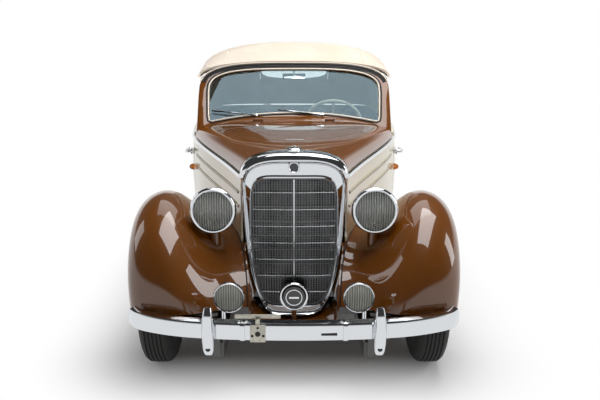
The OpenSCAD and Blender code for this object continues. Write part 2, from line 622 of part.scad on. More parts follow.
// Stations of the tub with those of the wheel opening put in their order
function ordered(v) = len(v) < 2 ? v : let (p = v[0])
    concat(ordered([for (q = v) if (q < p) q]), [p], ordered([for (q = v) if (q > p) q]));
stations = ordered(concat(tub_ys, [y_r + 200, y_r + 300, y_r + 350]));
function station(y) = [for (i = [0:len(stations) - 1]) if (abs(stations[i] - y) < 0.01) i][0];
deck_cols = len(deck_angles) - 1;
last_col = 11 + deck_cols;
function arch_gap(d, k) = let (a = station(y_r - d), b = station(y_r + d) - 1)
    [[a, b, 0, k], [a, b, last_col - k, last_col]];
module rear_body() {
    grid = [for (y = stations) tub_row(y)];
    lid_cols = [search(lid_a[0], deck_angles)[0] + 6, search(lid_a[1], deck_angles)[0] + 5];
    gaps = concat([[0, station(top_rear) - 1, 6, 5 + deck_cols]],
        [[station(tail_y(lid_u[0])), station(tail_y(lid_u[1])) - 1, lid_cols[0], lid_cols[1]]],
        arch_gap(350, 0), arch_gap(300, 1), arch_gap(200, 2));
    color(cream) difference() {
        sheet(grid, sunk(grid, skin), gaps);
        both_sides() translate([iron_x - 6, y_tail - 150, iron_z - 6]) cube([iron_w + 12, 200, iron_h + 12]);
    }
}
lid_inset = [0.0055, 1.3];
module boot_lid() {
    us = spread(lid_u[0] + lid_inset[0], lid_u[1] - lid_inset[0], 9);
    as = spread(lid_a[0] + lid_inset[1], lid_a[1] - lid_inset[1], 10);
    grid = [for (u = us) [for (a = as) deck_point(tail_y(u), a)]];
    color(brown) sheet(grid, sunk(grid, skin));
}
lid_hinge_x = 240;
lid_pivot = [0, tail_y(lid_u[0]) + 3, deck_z(tail_y(lid_u[0])) + barrel_r + 4];
module lid_hinges() {
    foot = deck_z(lid_pivot[1] + 3) + seat_gap - lid_pivot[2];
    color(chrome) both_sides() translate([lid_hinge_x, lid_pivot[1], lid_pivot[2]]) across() eye([0, foot, leaf, 4]);
}
module deck_hinges() {
    foot = deck_z(lid_pivot[1] - leaf) + seat_gap - lid_pivot[2];
    color(chrome) both_sides() translate([lid_hinge_x, lid_pivot[1], lid_pivot[2]]) across() lugs([-leaf, foot, leaf, 4]);
}

// Fabric top: [station, crown height, side rail height]
top_front_z = screen_top_z + 8;
top_front = screen_back(top_front_z) + 0.8;
top_t = 13;
top_rows = [
    [top_front, top_front_z, top_side_z],
    [top_front + 120, mix(top_front_z, roof_z, 0.45), top_side_z],
    [top_front + 280, mix(top_front_z, roof_z, 0.84), top_side_z],
    [top_front + 460, roof_z, top_side_z],
    [mix(top_front, top_rear, 0.5), roof_z - 8, top_side_z],
    [door_rear, roof_z - 36, top_side_z],
    [top_rear - 400, roof_z - 92, 1296],
    [top_rear - 240, roof_z - 190, 1196],
    [top_rear - 120, roof_z - 325, 1092],
    [top_rear - 45, roof_z - 450, 1026],
    [top_rear - 1, belt_z + 34, belt_z + 20]];
function top_x(y, z) = let (t = (z - belt_z) / (top_side_z - belt_z)) plan(y) - 3 - 39 * t ^ 1.4;
// v runs from 0 at the right edge on the belt over 1 at the side rail and 2 at the crown to 4
function top_half(y, v) = let (
    zc = track(top_rows, y, 1), zr = track(top_rows, y, 2), n = 2.5, a = 90 * (v - 1),
    zs = mix(belt_z + 0.8, zr, v), z = v <= 1 ? zs : zr + (zc - zr) * sin(a) ^ (2 / n),
    x = v <= 1 ? top_x(y, zs) : v >= 2 ? 0 : top_x(y, zr) * cos(a) ^ (2 / n))
    [x, y + (1 - ease((y - top_front) / 240)) * (z - top_front_z) * screen_lean, z];
function top_point(y, v) = v <= 2 ? top_half(y, v) : let (p = top_half(y, 4 - v)) [-p[0], p[1], p[2]];
half_vs = [0, 0.33, 0.67, 1, 1.09, 1.2, 1.32, 1.45, 1.6, 1.76, 1.88];
top_vs = concat(half_vs, [2], [for (i = [len(half_vs) - 1:-1:0]) 4 - half_vs[i]]);
window_v = [1.76, 2.24];
window_y = [top_rear - 285, top_rear - 130];
top_ys = concat(spread(top_front, top_front + 240, 3), spread(top_front + 360, door_rear - 180, 4),
    [door_rear + 8, top_rear - 400, top_rear - 340, window_y[0], top_rear - 235, top_rear - 182, window_y[1],
    top_rear - 85, top_rear - 45, top_rear - 18, top_rear - 1]);
module soft_top() {
    grid = [for (y = top_ys) [for (v = top_vs) top_point(y, v)]];
    row = search(door_rear + 8, top_ys)[0];
    win = [search(window_y[0], top_ys)[0], search(window_y[1], top_ys)[0] - 1,
        search(window_v[0], top_vs)[0], search(window_v[1], top_vs)[0] - 1];
    color(fabric) sheet(grid, sunk(grid, top_t), [[0, row - 1, 0, 2], [0, row - 1, 19, 21], win]);
}
module rear_window() {
    d = 0.7;
    ys = concat([window_y[0] + d], [top_rear - 235, top_rear - 182], [window_y[1] - d]);
    vs = [window_v[0] + 0.0016, 1.88, 2, 2.12, window_v[1] - 0.0016];
    grid = [for (y = ys) [for (v = vs) top_point(y, v)]];
    color(lens, 0.4) sheet(sunk(grid, 4), sunk(grid, 9));
}

// Belt mouldings along the bonnet, the doors and the rear quarters
trim_h = 24;
trim_t = 11;
module trim_strip(ys) {
    loft([for (y = ys) let (z = belt(y) - hood_edge - trim_h - 1, xl = side_x(y, z) + 2 * seat_gap,
        xt = side_x(y, z + trim_h) + 2 * seat_gap)
        [[xl, y, z], [xt, y, z + trim_h], [xt + trim_t * 0.7, y, z + trim_h - 3],
        [mix(xl, xt, 0.55) + trim_t, y, z + trim_h * 0.55], [xl + trim_t * 0.75, y, z + 4]]]);
}
module belt_trim() {
    color(chrome) both_sides() {
        trim_strip(spread(hood_front + 2, door_front - panel_gap - 1, 13));
        trim_strip(spread(door_rear + leaf + 12, top_rear - 4, 8));
    }
}
module door_trim(side) {
    color(chrome) place(side) trim_strip(spread(door_front + 1, door_rear - leaf - 12, 9));
}

// Wheels and tyres, turned about the axle, drawn at the origin with the outer face towards +X
rim_r = rim_d / 2;
half_w = tyre_w / 2;
module about_axle(x, y, z, side) {
    translate([side * x, y, z]) place(side) rotate([0, 90, 0]) children();
}
function mirrored(pts) = [for (i = [len(pts) - 1:-1:0]) [pts[i][0], -pts[i][1]]];
tyre_r = tyre_d / 2;
bead = rim_r + 0.4;
tyre_outer = [[bead, -57], [bead + 14, -57.5], [bead + 20, -66], [bead + 43, 2 - half_w], [bead + 73, -half_w],
    [tyre_r - 40, 5 - half_w], [tyre_r - 15, 15 - half_w], [tyre_r - 3, 30 - half_w], [tyre_r, 50 - half_w]];
tyre_inner = [[bead, -45], [bead + 12, -46], [bead + 40, -60], [bead + 73, 11 - half_w], [tyre_r - 40, 16 - half_w],
    [tyre_r - 18, 32 - half_w], [tyre_r - 12, 55 - half_w]];
module tyre_shape() {
    rotate_extrude($fn = 96) polygon(concat(tyre_outer, mirrored(tyre_outer),
        [for (p = tyre_inner) [p[0], -p[1]]], mirrored([for (p = tyre_inner) [p[0], -p[1]]])));
}
flange_r = rim_r + 13;
rim_edge = [[rim_r - 6, -66], [flange_r, -66], [flange_r, -59], [rim_r, -58], [rim_r, -38], [rim_r - 22, -26]];
rim_back = [[rim_r - 28, -30], [rim_r - 6, -42]];
hub_r = 34;
module wheel_shape(bore) {
    rotate_extrude($fn = 96) polygon(concat(rim_edge, mirrored(rim_edge),
        [[rim_r - 6, 42], [rim_r - 28, 30], [rim_r - 40, 34], [120, 44], [100, 36], [60, 34], [60, 48], [bore, 48],
        [bore, -28], [hub_r, -28], [hub_r, -22], [132, -22], [132, 16], [120, 28], [rim_r - 40, 22], [rim_r - 28, 14]],
        [rim_back[0], rim_back[1]]));
}
cap_r = 104;
module cap_shape() {
    rotate_extrude($fn = 72) polygon([[0, 78], [28, 77], [58, 71], [84, 60], [98, 50], [cap_r, 38.1], [cap_r - 4, 38.1],
        [94, 46], [80, 56], [56, 66], [26, 72], [0, 73]]);
}
front_x = front_track / 2;
rear_x = rear_track / 2;
wheel_bore = spindle_r + 0.05;
module tyre(x, y, side) {
    color(rubber) about_axle(x, y, axle_z, side) tyre_shape();
}
module wheel(x, y, side) {
    about_axle(x, y, axle_z, side) {
        color(brown) wheel_shape(wheel_bore);
        color(chrome) cap_shape();
    }
}

// Front suspension: crossmember, wishbones and kingpins; knuckles turn on the kingpins
kingpin_x = front_x - kingpin_inset;
kingpin_r = 14;
rail_in = 300;
rail_out = 360;
module front_suspension() {
    color(black) both_sides() {
        translate([rail_in + 30, y_f - 40, rail_top_z + 0.2]) cube([30, 80, 170]);
        for (d = [-127, 127]) {
            translate([rail_out + 0.2, y_f - 60, axle_z + d - 9]) cube([14, 120, 18]);
            translate([0, 0, axle_z + d - 9]) linear_extrude(18)
                polygon([[rail_out + 10, y_f - 60], [kingpin_x, y_f - 20], [kingpin_x, y_f + 20], [rail_out + 10, y_f + 60],
                    [rail_out + 10, y_f + 25], [kingpin_x - 80, y_f + 8], [kingpin_x - 80, y_f - 8], [rail_out + 10, y_f - 25]]);
            translate([kingpin_x, y_f, axle_z + d - 9]) cylinder(h = 18, r = 20);
        }
        translate([kingpin_x, y_f, axle_z - 134]) cylinder(h = 268, r = kingpin_r);
        for (d = [-118, 64]) translate([kingpin_x, y_f, axle_z + d]) cylinder(h = 54, r = 20);
    }
}
module knuckle(side) {
    color(steel) place(side) difference() {
        union() {
            translate([kingpin_x, y_f, axle_z - 62]) cylinder(h = 124, r = 24);
            translate([kingpin_x, y_f, axle_z]) rotate([0, 90, 0]) cylinder(h = front_x - kingpin_x + 46, r = spindle_r);
            translate([kingpin_x, y_f, axle_z]) rotate([0, 90, 0]) cylinder(h = 28, r = 28);
            translate([kingpin_x - 8, y_f, axle_z - 56]) cube([16, 128, 14]);
        }
        translate([kingpin_x, y_f, axle_z - 70]) cylinder(h = 140, r = kingpin_r + 0.05);
    }
}
module rear_axle() {
    color(black) {
        translate([0, y_r, axle_z]) rotate([0, 90, 0]) cylinder(h = 190, r = 95, center = true);
        translate([0, y_r - 70, axle_z]) rotate([90, 0, 0]) cylinder(h = 90, r = 48);
        both_sides() {
            translate([80, y_r, axle_z]) rotate([0, 90, 0]) cylinder(h = rear_x - 80 - 40, r = 36);
            translate([100, y_r, axle_z]) rotate([0, 90, 0]) cylinder(h = rear_x - 100 + 46, r = spindle_r);
        }
        translate([-60, y_r - 45, axle_z + 80]) cube([120, 90, 60]);
    }
}

// Ladder frame with a kick-up over the rear axle
frame_front = y_f - 560;
frame_back = y_tail - 120;
rail_h = 90;
kick = 180;            // rise of the rails over the rear axle
arm_ys = [door_front + 60, mix(door_front, door_rear, 0.5), door_rear - 60];
jack_x = 750;          // ends of the cross arms under the running boards, with a jack socket each
arm_w = 50;
arm_h = 34;
jack_z = rail_top_z - arm_h;
jack_r = 11;
jack_len = 24;
jack_in = 30;          // socket inboard of the end of its arm
module chassis_frame() {
    lo = rail_top_z - rail_h;
    color(black) {
        both_sides() translate([rail_in, 0, 0]) rotate([90, 0, 90]) linear_extrude(rail_out - rail_in) polygon([
            [frame_front, lo + 20], [frame_front, rail_top_z], [riser_y + 12, rail_top_z],
            [riser_y + 190, rail_top_z + kick], [frame_back, rail_top_z + kick],
            [frame_back, rail_top_z + kick - 70], [riser_y + 210, rail_top_z + kick - 80],
            [riser_y + 20, lo], [frame_front + 200, lo]]);
        for (y = [shell_y + shell_depth + 0.3, y_f + 760, y_r - 560])
            translate([-rail_in - 5, y, lo + 10]) cube([2 * rail_in + 10, 90, 60]);
        translate([-rail_in - 5, y_r - 45, axle_z + 140.2]) cube([2 * rail_in + 10, 90, 19]);
        translate([-rail_in - 5, frame_back - 70, rail_top_z + kick - 70]) cube([2 * rail_in + 10, 60, 60]);
    }
}

// Cross arms bolted to the rails under the doors, with a jack socket below the end of the first and the last
module jack_arms() {
    color(black) both_sides() for (y = arm_ys) difference() {
        translate([rail_out + 0.2, y, rail_top_z - arm_h]) cube([jack_x - rail_out - 0.2, arm_w, arm_h]);
        if (y != arm_ys[1])
            translate([jack_x - jack_in, y + arm_w / 2, jack_z - 1]) cylinder(h = jack_len + 1, r = jack_r);
    }
}
function floor_hw(y) = side_x(y, tub_z) - (y < door_front ? pillar_t : skin) - 1.5 * seat_gap;
tunnel_w = 130;
tunnel_h = 95;         // inside height of the tunnel over the propeller shaft, above the rails
floor_front = hood_rear + 48;
riser_y = y_r - 400;
module floor_pan() {
    ys = concat([floor_front, door_front - 1], spread(door_front + 0.5, riser_y, 10));
    color(steel) difference() {
      union() {
        translate([0, 0, rail_top_z + 0.2]) linear_extrude(floor_t) polygon(concat(
            [for (y = ys) [floor_hw(y), y]], [for (i = [len(ys) - 1:-1:0]) [-floor_hw(ys[i]), ys[i]]]));
        translate([-600, riser_y - 12, rail_top_z + 0.2]) cube([1200, 12, kick + 14]);
        translate([-600, riser_y - 12, rail_top_z + kick + 0.2]) cube([1200, 360, 14]);
        translate([-470, riser_y + 340, rail_top_z + kick + 0.2]) cube([940, frame_back - riser_y - 350, 14]);
        translate([-tunnel_w / 2 - 8, floor_front, rail_top_z + 0.2]) cube([tunnel_w + 16, riser_y - floor_front, tunnel_h + 8]);
      }
      translate([-tunnel_w / 2, floor_front - 1, rail_top_z - 1]) cube([tunnel_w, riser_y - floor_front + 2, tunnel_h + 1]);
    }
}
module running_boards() {
    ys = concat(spread(y_f + 402, hood_rear, 4), [hood_rear + 32, hood_rear + 64, door_front - panel_gap],
        spread(door_front, y_r - 388, 7));
    color(black) both_sides() translate([0, 0, rail_top_z + 0.3]) linear_extrude(24) polygon(concat(
        [for (y = ys) [side_x(y, rail_top_z + 25) + 2 * seat_gap, y]],
        [[front_out - 4 + (rear_out - front_out) * 0.6, y_r - 388], [front_out - 4, y_f + 402]]));
}

// Engine, gearbox, driveline, exhaust and tank
module engine() {
    color(steel) {
        translate([-105, y_f + 120, 330]) cube([210, 520, 330]);
        translate([-90, y_f + 130, 655]) cube([180, 500, 110]);
        translate([-130, y_f + 120, 240]) cube([260, 480, 95]);
        translate([0, y_f + 640, 420]) rotate([-90, 0, 0]) cylinder(h = 112, r = 150);
        translate([0, y_f + 745, 400]) rotate([-90, 0, 0]) cylinder(h = 280, r = 62);
        translate([0, y_f + 60, 560]) rotate([-90, 0, 0]) cylinder(h = 62, r = 28);
        translate([-rail_in + 0.3, y_f + 300, 270]) cube([2 * rail_in - 0.6, 60, 30]);
    }
}
module radiator() {
    color(black) translate([-170, hood_front + 10, 340]) cube([340, 70, 560]);
    color(black) translate([-150, hood_front + 20, rail_top_z - 19.7]) cube([300, 50, 60]);
}
module driveline() {
    start = 1025.3;
    color(steel) translate([0, y_f + start, 370]) rotate([-90, 0, 0]) cylinder(h = wheelbase - start - 162, r = 32);
}
exhaust_x = -180;
exhaust_z = 172;
module exhaust() {
    color(steel) {
        translate([exhaust_x, y_f + 600, exhaust_z]) rotate([-90, 0, 0]) cylinder(h = y_tail - y_f - 620, r = 22);
        translate([exhaust_x, y_r - 1000, exhaust_z]) rotate([-90, 0, 0]) cylinder(h = 560, r = 60);
        translate([exhaust_x - 10, y_r - 520, exhaust_z]) cube([20, 12, rail_top_z - rail_h + 9.7 - exhaust_z]);
        translate([exhaust_x - 10, frame_back - 50, exhaust_z]) cube([20, 12, rail_top_z + kick - 70.3 - exhaust_z]);
    }
}
tank_w = 570;
tank_len = 280;
tank_h = 175;
module fuel_tank() {
    color(black) translate([-tank_w / 2, y_r + 250, rail_top_z + kick - tank_h])
        cube([tank_w, tank_len, tank_h]);
}

// Front bumper: [x, station of the blade's face behind the guards' tips]
front_blade = [[0, 22], [240, 30], [473, 58], [608, 104], [678, 140], [716, 192]];
rear_blade = [[0, 22], [260, 30], [500, 52], [640, 86], [720, 118], [752, 152]];
blade_profile = [for (k = [-4:4]) let (a = k * 19.5)
    [16 * (1 - cos(a)) + 13 * max(0, abs(k) - 3) * 2, bumper_h / 2 * sin(a) / sin(78)]];
function blade_y(rows, x) = track(rows, abs(x));
blade_xs = [0, 160, 320, 473, 590, 678, 702, 716];
blade_t = 7;
function plan_normal(rows, x) = let (d = 4, g = [2 * d, blade_y(rows, min(x + d, 752)) - blade_y(rows, x - d)])
    unit([g[1], -g[0]]);
function blade_section(rows, x, z0) = let (n = plan_normal(rows, x), y = blade_y(rows, x))
    concat([for (p = blade_profile) let (d = p[0] + blade_t, q = p[1] * (1 - blade_t / bumper_h))
            [x - n[0] * d, y - n[1] * d, z0 + q]],
        [for (i = [len(blade_profile) - 1:-1:0]) let (p = blade_profile[i])
            [x - n[0] * p[0], y - n[1] * p[0], z0 + p[1]]]);
module blade(rows, z0) {
    k = rows[len(rows) - 1][0] / 716;
    xs = concat([for (i = [len(blade_xs) - 1:-1:1]) -blade_xs[i]], blade_xs);
    loft([for (x = xs) let (s = blade_section(rows, abs(x) * k, z0))
        [for (p = s) [x < 0 ? -p[0] : p[0], p[1], p[2]]]]);
}
guard_x = 354;
// Station of the blade's flat face between its sections
function face_y(rows, x) = let (k = rows[len(rows) - 1][0] / 716)
    lookup(x, [for (q = blade_xs) [q * k, blade_y(rows, q * k)]]);
function guard_ring(z, w, d, back) = [for (k = [0:9])
    let (a = 198 + k * 36, r = 1 / max(abs(cos(a)), abs(sin(a))) ^ 0.55)
    [w / 2 * cos(a) * r, back - d * max(0, 0.42 - 0.58 * sin(a) * r), z]];
module guard(rows) {
    back = face_y(rows, guard_x - 16) - seat_gap;
    levels = [[-100, 30, 0.3], [-86, 45, 0.66], [-40, 54, 0.9], [14, 57, 1], [74, 50, 0.84], [107, 30, 0.36]];
    loft([for (l = levels) guard_ring(bumper_z + l[0], l[1], back * l[2], back)]);
}
iron_x = 315;
iron_w = 30;
iron_h = 40;
iron_z = bumper_z - iron_h / 2;
iron_room = 2.8;       // lets the blade's curl clear the corners of the irons
module bumper_iron(rows, end) {
    face = face_y(rows, iron_x + iron_w) + blade_t + iron_room;
    translate([iron_x, 0, 0]) rotate([90, 0, 90]) linear_extrude(iron_w) polygon([
        [face, iron_z], [face, iron_z + iron_h], [end - 45, iron_z + iron_h], [end - 0.3, rail_top_z - 2],
        [end - 0.3, rail_top_z - 66], [end - 45, iron_z - 10]]);
}
module front_bumper() {
    color(chrome) translate([0, y_front, 0]) blade(front_blade, bumper_z);
}
module front_guards() {
    color(chrome) translate([0, y_front, 0]) both_sides() translate([guard_x, 0, 0]) guard(front_blade);
}
module to_rear() { translate([0, length / 2, 0]) mirror([0, 1, 0]) children(); }
module rear_bumper() {
    color(chrome) to_rear() blade(rear_blade, bumper_z);
}
module rear_guards() {
    color(chrome) to_rear() both_sides() translate([guard_x, 0, 0]) guard(rear_blade);
}
module bumper_irons() {
    color(black) both_sides() {
        translate([0, y_front, 0]) bumper_iron(front_blade, frame_front - y_front);
        to_rear() translate([iron_x, 0, 0]) rear_iron();
    }
}
module rear_iron() {
    face = face_y(rear_blade, iron_x + iron_w) + blade_t + iron_room;
    end = length / 2 - frame_back;
    translate([0, face, iron_z]) cube([iron_w, end - face - 0.3, iron_h]);
    translate([0, end - 60, iron_z + 30]) cube([iron_w, 59.7, rail_top_z + kick - 40 - iron_z]);
}

// Lamps
lamp_x = headlamp_spread / 2;
lamp_y = y_f - 205;    // front of the headlamp rims
lamp_r = headlamp_d / 2;
lamp_seat = fender_seat(lamp_x + 4, y_f - 110);
// Place on the front fender's inner flank above a point of the plan, found by halving
function flank_s(x, a, lo = 0, hi = 0.5, n = 18) = n == 0 ? (lo + hi) / 2 : let (m = (lo + hi) / 2)
    fender_xr(front_fender_rows, y_f, front_arch_r, a, m)[0] < x
        ? flank_s(x, a, m, hi, n - 1) : flank_s(x, a, lo, m, n - 1);
function flank_a(x, y, lo = 30, hi = 120, n = 18) = n == 0 ? (lo + hi) / 2 : let (m = (lo + hi) / 2)
    fender_point(front_fender_rows, y_f, front_arch_r, m, flank_s(x, m))[1] < y
        ? flank_a(x, y, m, hi, n - 1) : flank_a(x, y, lo, m, n - 1);
function fender_seat(x, y) = let (a = flank_a(x, y), s = flank_s(x, a))
    [fender_point(front_fender_rows, y_f, front_arch_r, a, s), fender_normal(front_fender_rows, y_f, front_arch_r, a, s)];
module half_space(p, n) { stand_on(p, n) translate([-300, -300, -400]) cube([600, 600, 400]); }
module headlamp() {
    color(brown) difference() {
        union() {
            translate([lamp_x, lamp_y, headlamp_z]) rotate([-90, 0, 0]) rotate_extrude($fn = 72) polygon([
                [0, 12], [lamp_r - 14, 12], [lamp_r - 8, 18], [lamp_r - 8, 40], [lamp_r - 14, 90], [lamp_r - 34, 150],
                [lamp_r - 68, 196], [20, 214], [0, 216]]);
            translate([lamp_x + 4, y_f - 110, lamp_seat[0][2] - 60]) cylinder(h = headlamp_z - lamp_seat[0][2], r = 30);
        }
        half_space(lamp_seat[0] + 4.3 * lamp_seat[1], lamp_seat[1]);
    }
}
module headlamp_rim() {
    color(chrome) translate([lamp_x, lamp_y, headlamp_z]) rotate([-90, 0, 0]) rotate_extrude($fn = 72) polygon([
        [lamp_r - 17, 0], [lamp_r - 8, -2], [lamp_r - 1, 6], [lamp_r, 18], [lamp_r - 7.6, 18], [lamp_r - 7.6, 17],
        [lamp_r - 13.6, 11.6], [lamp_r - 17, 11.6]]);
}
module headlamp_lens() {
    color(lens, 0.6) translate([lamp_x, lamp_y, headlamp_z]) rotate([-90, 0, 0]) rotate_extrude($fn = 72) polygon([
        [0, -14], [40, -11], [70, -4], [lamp_r - 17.4, 5], [lamp_r - 17.4, 11], [0, 11]]);
}
fog_x = 282;
fog_y = y_f - 492;
fog_z = 496;
fog_r = foglamp_d / 2;
module fog_lamps() {
    color(chrome) both_sides() union() {
        translate([fog_x, fog_y, fog_z]) rotate([-90, 0, 0]) rotate_extrude($fn = 60) polygon([
            [0, 12], [fog_r - 8, 12], [fog_r - 8, 0], [fog_r - 2, 0], [fog_r, 10], [fog_r - 1, 22],
            [fog_r - 12, 48], [fog_r - 34, 70], [12, 80], [0, 80]]);
        translate([fog_x + 28, fog_y + 40, rail_top_z + 0.2]) cylinder(h = fog_z - fog_r + 20 - rail_top_z, r = 10);
    }
}
module fog_lenses() {
    color("#e8dc9a", 0.7) both_sides() translate([fog_x, fog_y, fog_z]) rotate([-90, 0, 0])
        rotate_extrude($fn = 60) polygon([
            [0, -8], [30, -5], [fog_r - 8.4, 3], [fog_r - 8.4, 11.6], [0, 11.6]]);
}
horn_z = 388;
horn_y = shell_y - 62;
module horn() {
    foot = apron_point(horn_y + 30, 90)[2] + 0.5;
    color(chrome) union() {
        translate([0, horn_y, horn_z]) rotate([-90, 0, 0]) rotate_extrude($fn = 60) polygon([
            [0, -6], [30, -3], [52, 6], [56, 4], [66, 0], [71, 8], [69, 18], [50, 34], [18, 42], [0, 42]]);
        translate([-12, horn_y + 20, foot]) cube([24, 8, horn_z - 50 - foot]);
    }
}
side_lamp_y = hood_rear + 56;
side_lamp_z = 785;
module side_lamps() {
    x = side_x(side_lamp_y + 20, side_lamp_z) + seat_gap;
    color(amber) both_sides() translate([x, side_lamp_y, side_lamp_z]) rotate([0, 90, 0]) rotate_extrude() polygon([
        [0, 0], [20, 0], [20, 6], [17, 20], [10, 30], [0, 33]]);
}
tail_a = 150;
tail_s = 0.6;
tail_p = fender_point(rear_fender_rows, y_r, rear_arch_r, tail_a, tail_s);
tail_n = fender_normal(rear_fender_rows, y_r, rear_arch_r, tail_a, tail_s);
module tail_lamps() {
    color("#b0201c") both_sides() stand_on(tail_p + seat_gap * tail_n, tail_n) rotate_extrude() polygon([
        [0, 0], [30, 0], [31, 12], [24, 26], [12, 33], [0, 35]]);
}
module radiator_cap() {
    color(chrome) translate([0, shell_y + 44, shell_top_z + seat_gap]) rotate_extrude() polygon([
        [0, 0], [30, 0], [30, 4], [36, 6], [37, 11], [32, 16], [18, 19], [9, 20], [7, 26], [0, 28]]);
}

// Cabin
dash_y = hood_rear + 84;
dash_low = 905;
module dashboard() {
    hw0 = plan(dash_y) - pillar_t;
    hw1 = plan(door_front) - door_t - 14;
    color(cream) translate([0, 0, dash_low]) linear_extrude(belt_z - dash_low) polygon([
        [hw0 - 1, dash_y], [hw0 - 1, door_front - 8], [hw1, door_front - 8], [hw1, dash_y + 96],
        [-hw1, dash_y + 96], [-hw1, door_front - 8], [-hw0 + 1, door_front - 8], [-hw0 + 1, dash_y]]);
}
column_tilt = 30;
wheel_y = hood_rear + 430;
wheel_z = 1010;
column_axis = [0, cos(column_tilt), sin(column_tilt)];
module steering_column() {
    color(black) difference() {
        union() {
            stand_on([steering_x, wheel_y, wheel_z], column_axis) translate([0, 0, -460]) cylinder(h = 428, r = 21);
            stand_on([steering_x, wheel_y, wheel_z], column_axis) translate([0, 0, -60]) cylinder(h = 66, r = 9);
            translate([steering_x - 20, dash_y + 50, dash_low - 40]) cube([40, 30, 39.7]);
        }
        translate([steering_x - 60, hood_rear - 200, 300]) cube([120, 246.6, 700]);
    }
}
module steering_wheel() {
    color(cream) stand_on([steering_x, wheel_y, wheel_z], column_axis) difference() {
        union() {
            rotate_extrude($fn = 72) translate([steering_r - 10, 0]) circle(r = 10, $fn = 24);
            translate([0, 0, -26]) cylinder(h = 40, r = 34);
            for (a = [90, 210, 330]) rotate([0, 0, a]) translate([20, -9, -8]) cube([steering_r - 30, 18, 8]);
        }
        translate([0, 0, -27]) cylinder(h = 34, r = 9.05);
    }
}
seat_y = door_front + 430;
seat_w = 500;
module seat_cushions() {
    color(leather) both_sides() {
        translate([20, seat_y, floor_z + 100.5]) cube([seat_w, 500, 150]);
        translate([20, seat_y + 470, floor_z + 252]) rotate([-14, 0, 0]) cube([seat_w, 110, 420]);
    }
}
module seat_frames() {
    color(black) both_sides() translate([95, seat_y + 40, floor_z + 0.5]) cube([seat_w - 110, 420, 99.7]);
}
module rear_bench() {
    y = riser_y + 20;
    color(leather) {
        translate([-500, y, rail_top_z + kick + 14.6]) cube([1000, 300, 110]);
        translate([-500, y + 250, rail_top_z + kick + 126]) rotate([-16, 0, 0]) cube([1000, 90, 330]);
    }
}

union() {
    chassis_frame();
    bumper_irons();
}
jack_arms();
union() {
    floor_pan();
    firewall();
    seat_frames();
}
running_boards();
union() {
    engine();
    radiator();
}
exhaust();
fuel_tank();
front_suspension();
union() {
    rear_axle();
    driveline();
}
both_sides() front_fender();  // front_fenders
both_sides() rear_fender();  // rear_fenders
front_apron();
union() {
    radiator_shell();
    radiator_cap();
}
grille();
hood_sides();
union() {  // hood
    hood_lid();
    hood_hinges();
}
cowl_top();
cowl_sides();
windscreen_frame();
windscreen_glass();
wipers();
mirror_inside();  // mirror
door(1);  // door_left
door(-1);  // door_right
door_glass(1);  // door_glass_left
door_glass(-1);  // door_glass_right
door_fittings(1);  // door_fittings_left
door_fittings(-1);  // door_fittings_right
union() {  // fixed_hinges
    cowl_hinges();
    pillar_hinges();
    deck_hinges();
}
rear_body();
union() {
    boot_lid();
    lid_hinges();
}
soft_top();
rear_window();
belt_trim();
union() {
    front_bumper();
    front_guards();
}
union() {
    rear_bumper();
    rear_guards();
}
both_sides() headlamp();  // headlamps
union() {  // lamp_rims
    both_sides() headlamp_rim();
    fog_lamps();
    horn();
}
union() {  // lamp_lenses
    both_sides() headlamp_lens();
    fog_lenses();
}
side_lamps();
tail_lamps();
dashboard();
steering_column();
steering_wheel();
union() {  // seats
    seat_cushions();
    rear_bench();
}
knuckle(1);  // knuckle_left
knuckle(-1);  // knuckle_right
tyre(front_x, y_f, 1);  // tyre_front_left
tyre(front_x, y_f, -1);  // tyre_front_right
tyre(rear_x, y_r, 1);  // tyre_rear_left
tyre(rear_x, y_r, -1);  // tyre_rear_right
wheel(front_x, y_f, 1);  // wheel_front_left
wheel(front_x, y_f, -1);  // wheel_front_right
wheel(rear_x, y_r, 1);  // wheel_rear_left
wheel(rear_x, y_r, -1);  // wheel_rear_right
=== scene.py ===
# Convertible car of about 1950 with its fabric top raised, in brown and cream.
# Metres throughout. The front faces -Y, and the driver sits on the +X side.
import json
import math

import bpy
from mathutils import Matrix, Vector

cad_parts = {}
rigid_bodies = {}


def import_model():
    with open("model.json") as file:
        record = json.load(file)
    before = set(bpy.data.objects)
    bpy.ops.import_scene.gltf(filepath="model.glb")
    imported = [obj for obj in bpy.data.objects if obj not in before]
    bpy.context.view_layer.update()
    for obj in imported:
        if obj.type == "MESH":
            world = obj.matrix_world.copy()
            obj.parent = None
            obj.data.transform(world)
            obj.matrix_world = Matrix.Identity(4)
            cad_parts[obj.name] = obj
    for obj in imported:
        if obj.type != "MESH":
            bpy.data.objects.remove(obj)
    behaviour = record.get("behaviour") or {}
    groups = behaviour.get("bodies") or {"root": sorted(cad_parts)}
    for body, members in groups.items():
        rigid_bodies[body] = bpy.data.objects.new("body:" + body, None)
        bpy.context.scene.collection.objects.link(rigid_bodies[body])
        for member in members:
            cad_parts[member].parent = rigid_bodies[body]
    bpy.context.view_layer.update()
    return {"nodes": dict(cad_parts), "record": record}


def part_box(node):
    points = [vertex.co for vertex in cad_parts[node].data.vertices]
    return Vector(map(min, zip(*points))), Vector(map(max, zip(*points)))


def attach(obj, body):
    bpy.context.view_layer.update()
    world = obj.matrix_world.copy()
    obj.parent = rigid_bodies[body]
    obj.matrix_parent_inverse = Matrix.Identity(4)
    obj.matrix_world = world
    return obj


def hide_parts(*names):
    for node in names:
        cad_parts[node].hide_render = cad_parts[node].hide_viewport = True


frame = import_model()
nodes = frame["nodes"]
slotOf = {part["node"]: part.get("material_slot") for part in frame["record"].get("subparts", [])}
sides = {"left": 1, "right": -1}
pieces = bpy.data.objects
scene = bpy.context.scene
scene.view_settings.view_transform = "Standard"
print("frame loaded:", len(nodes), "nodes")


# Small tools

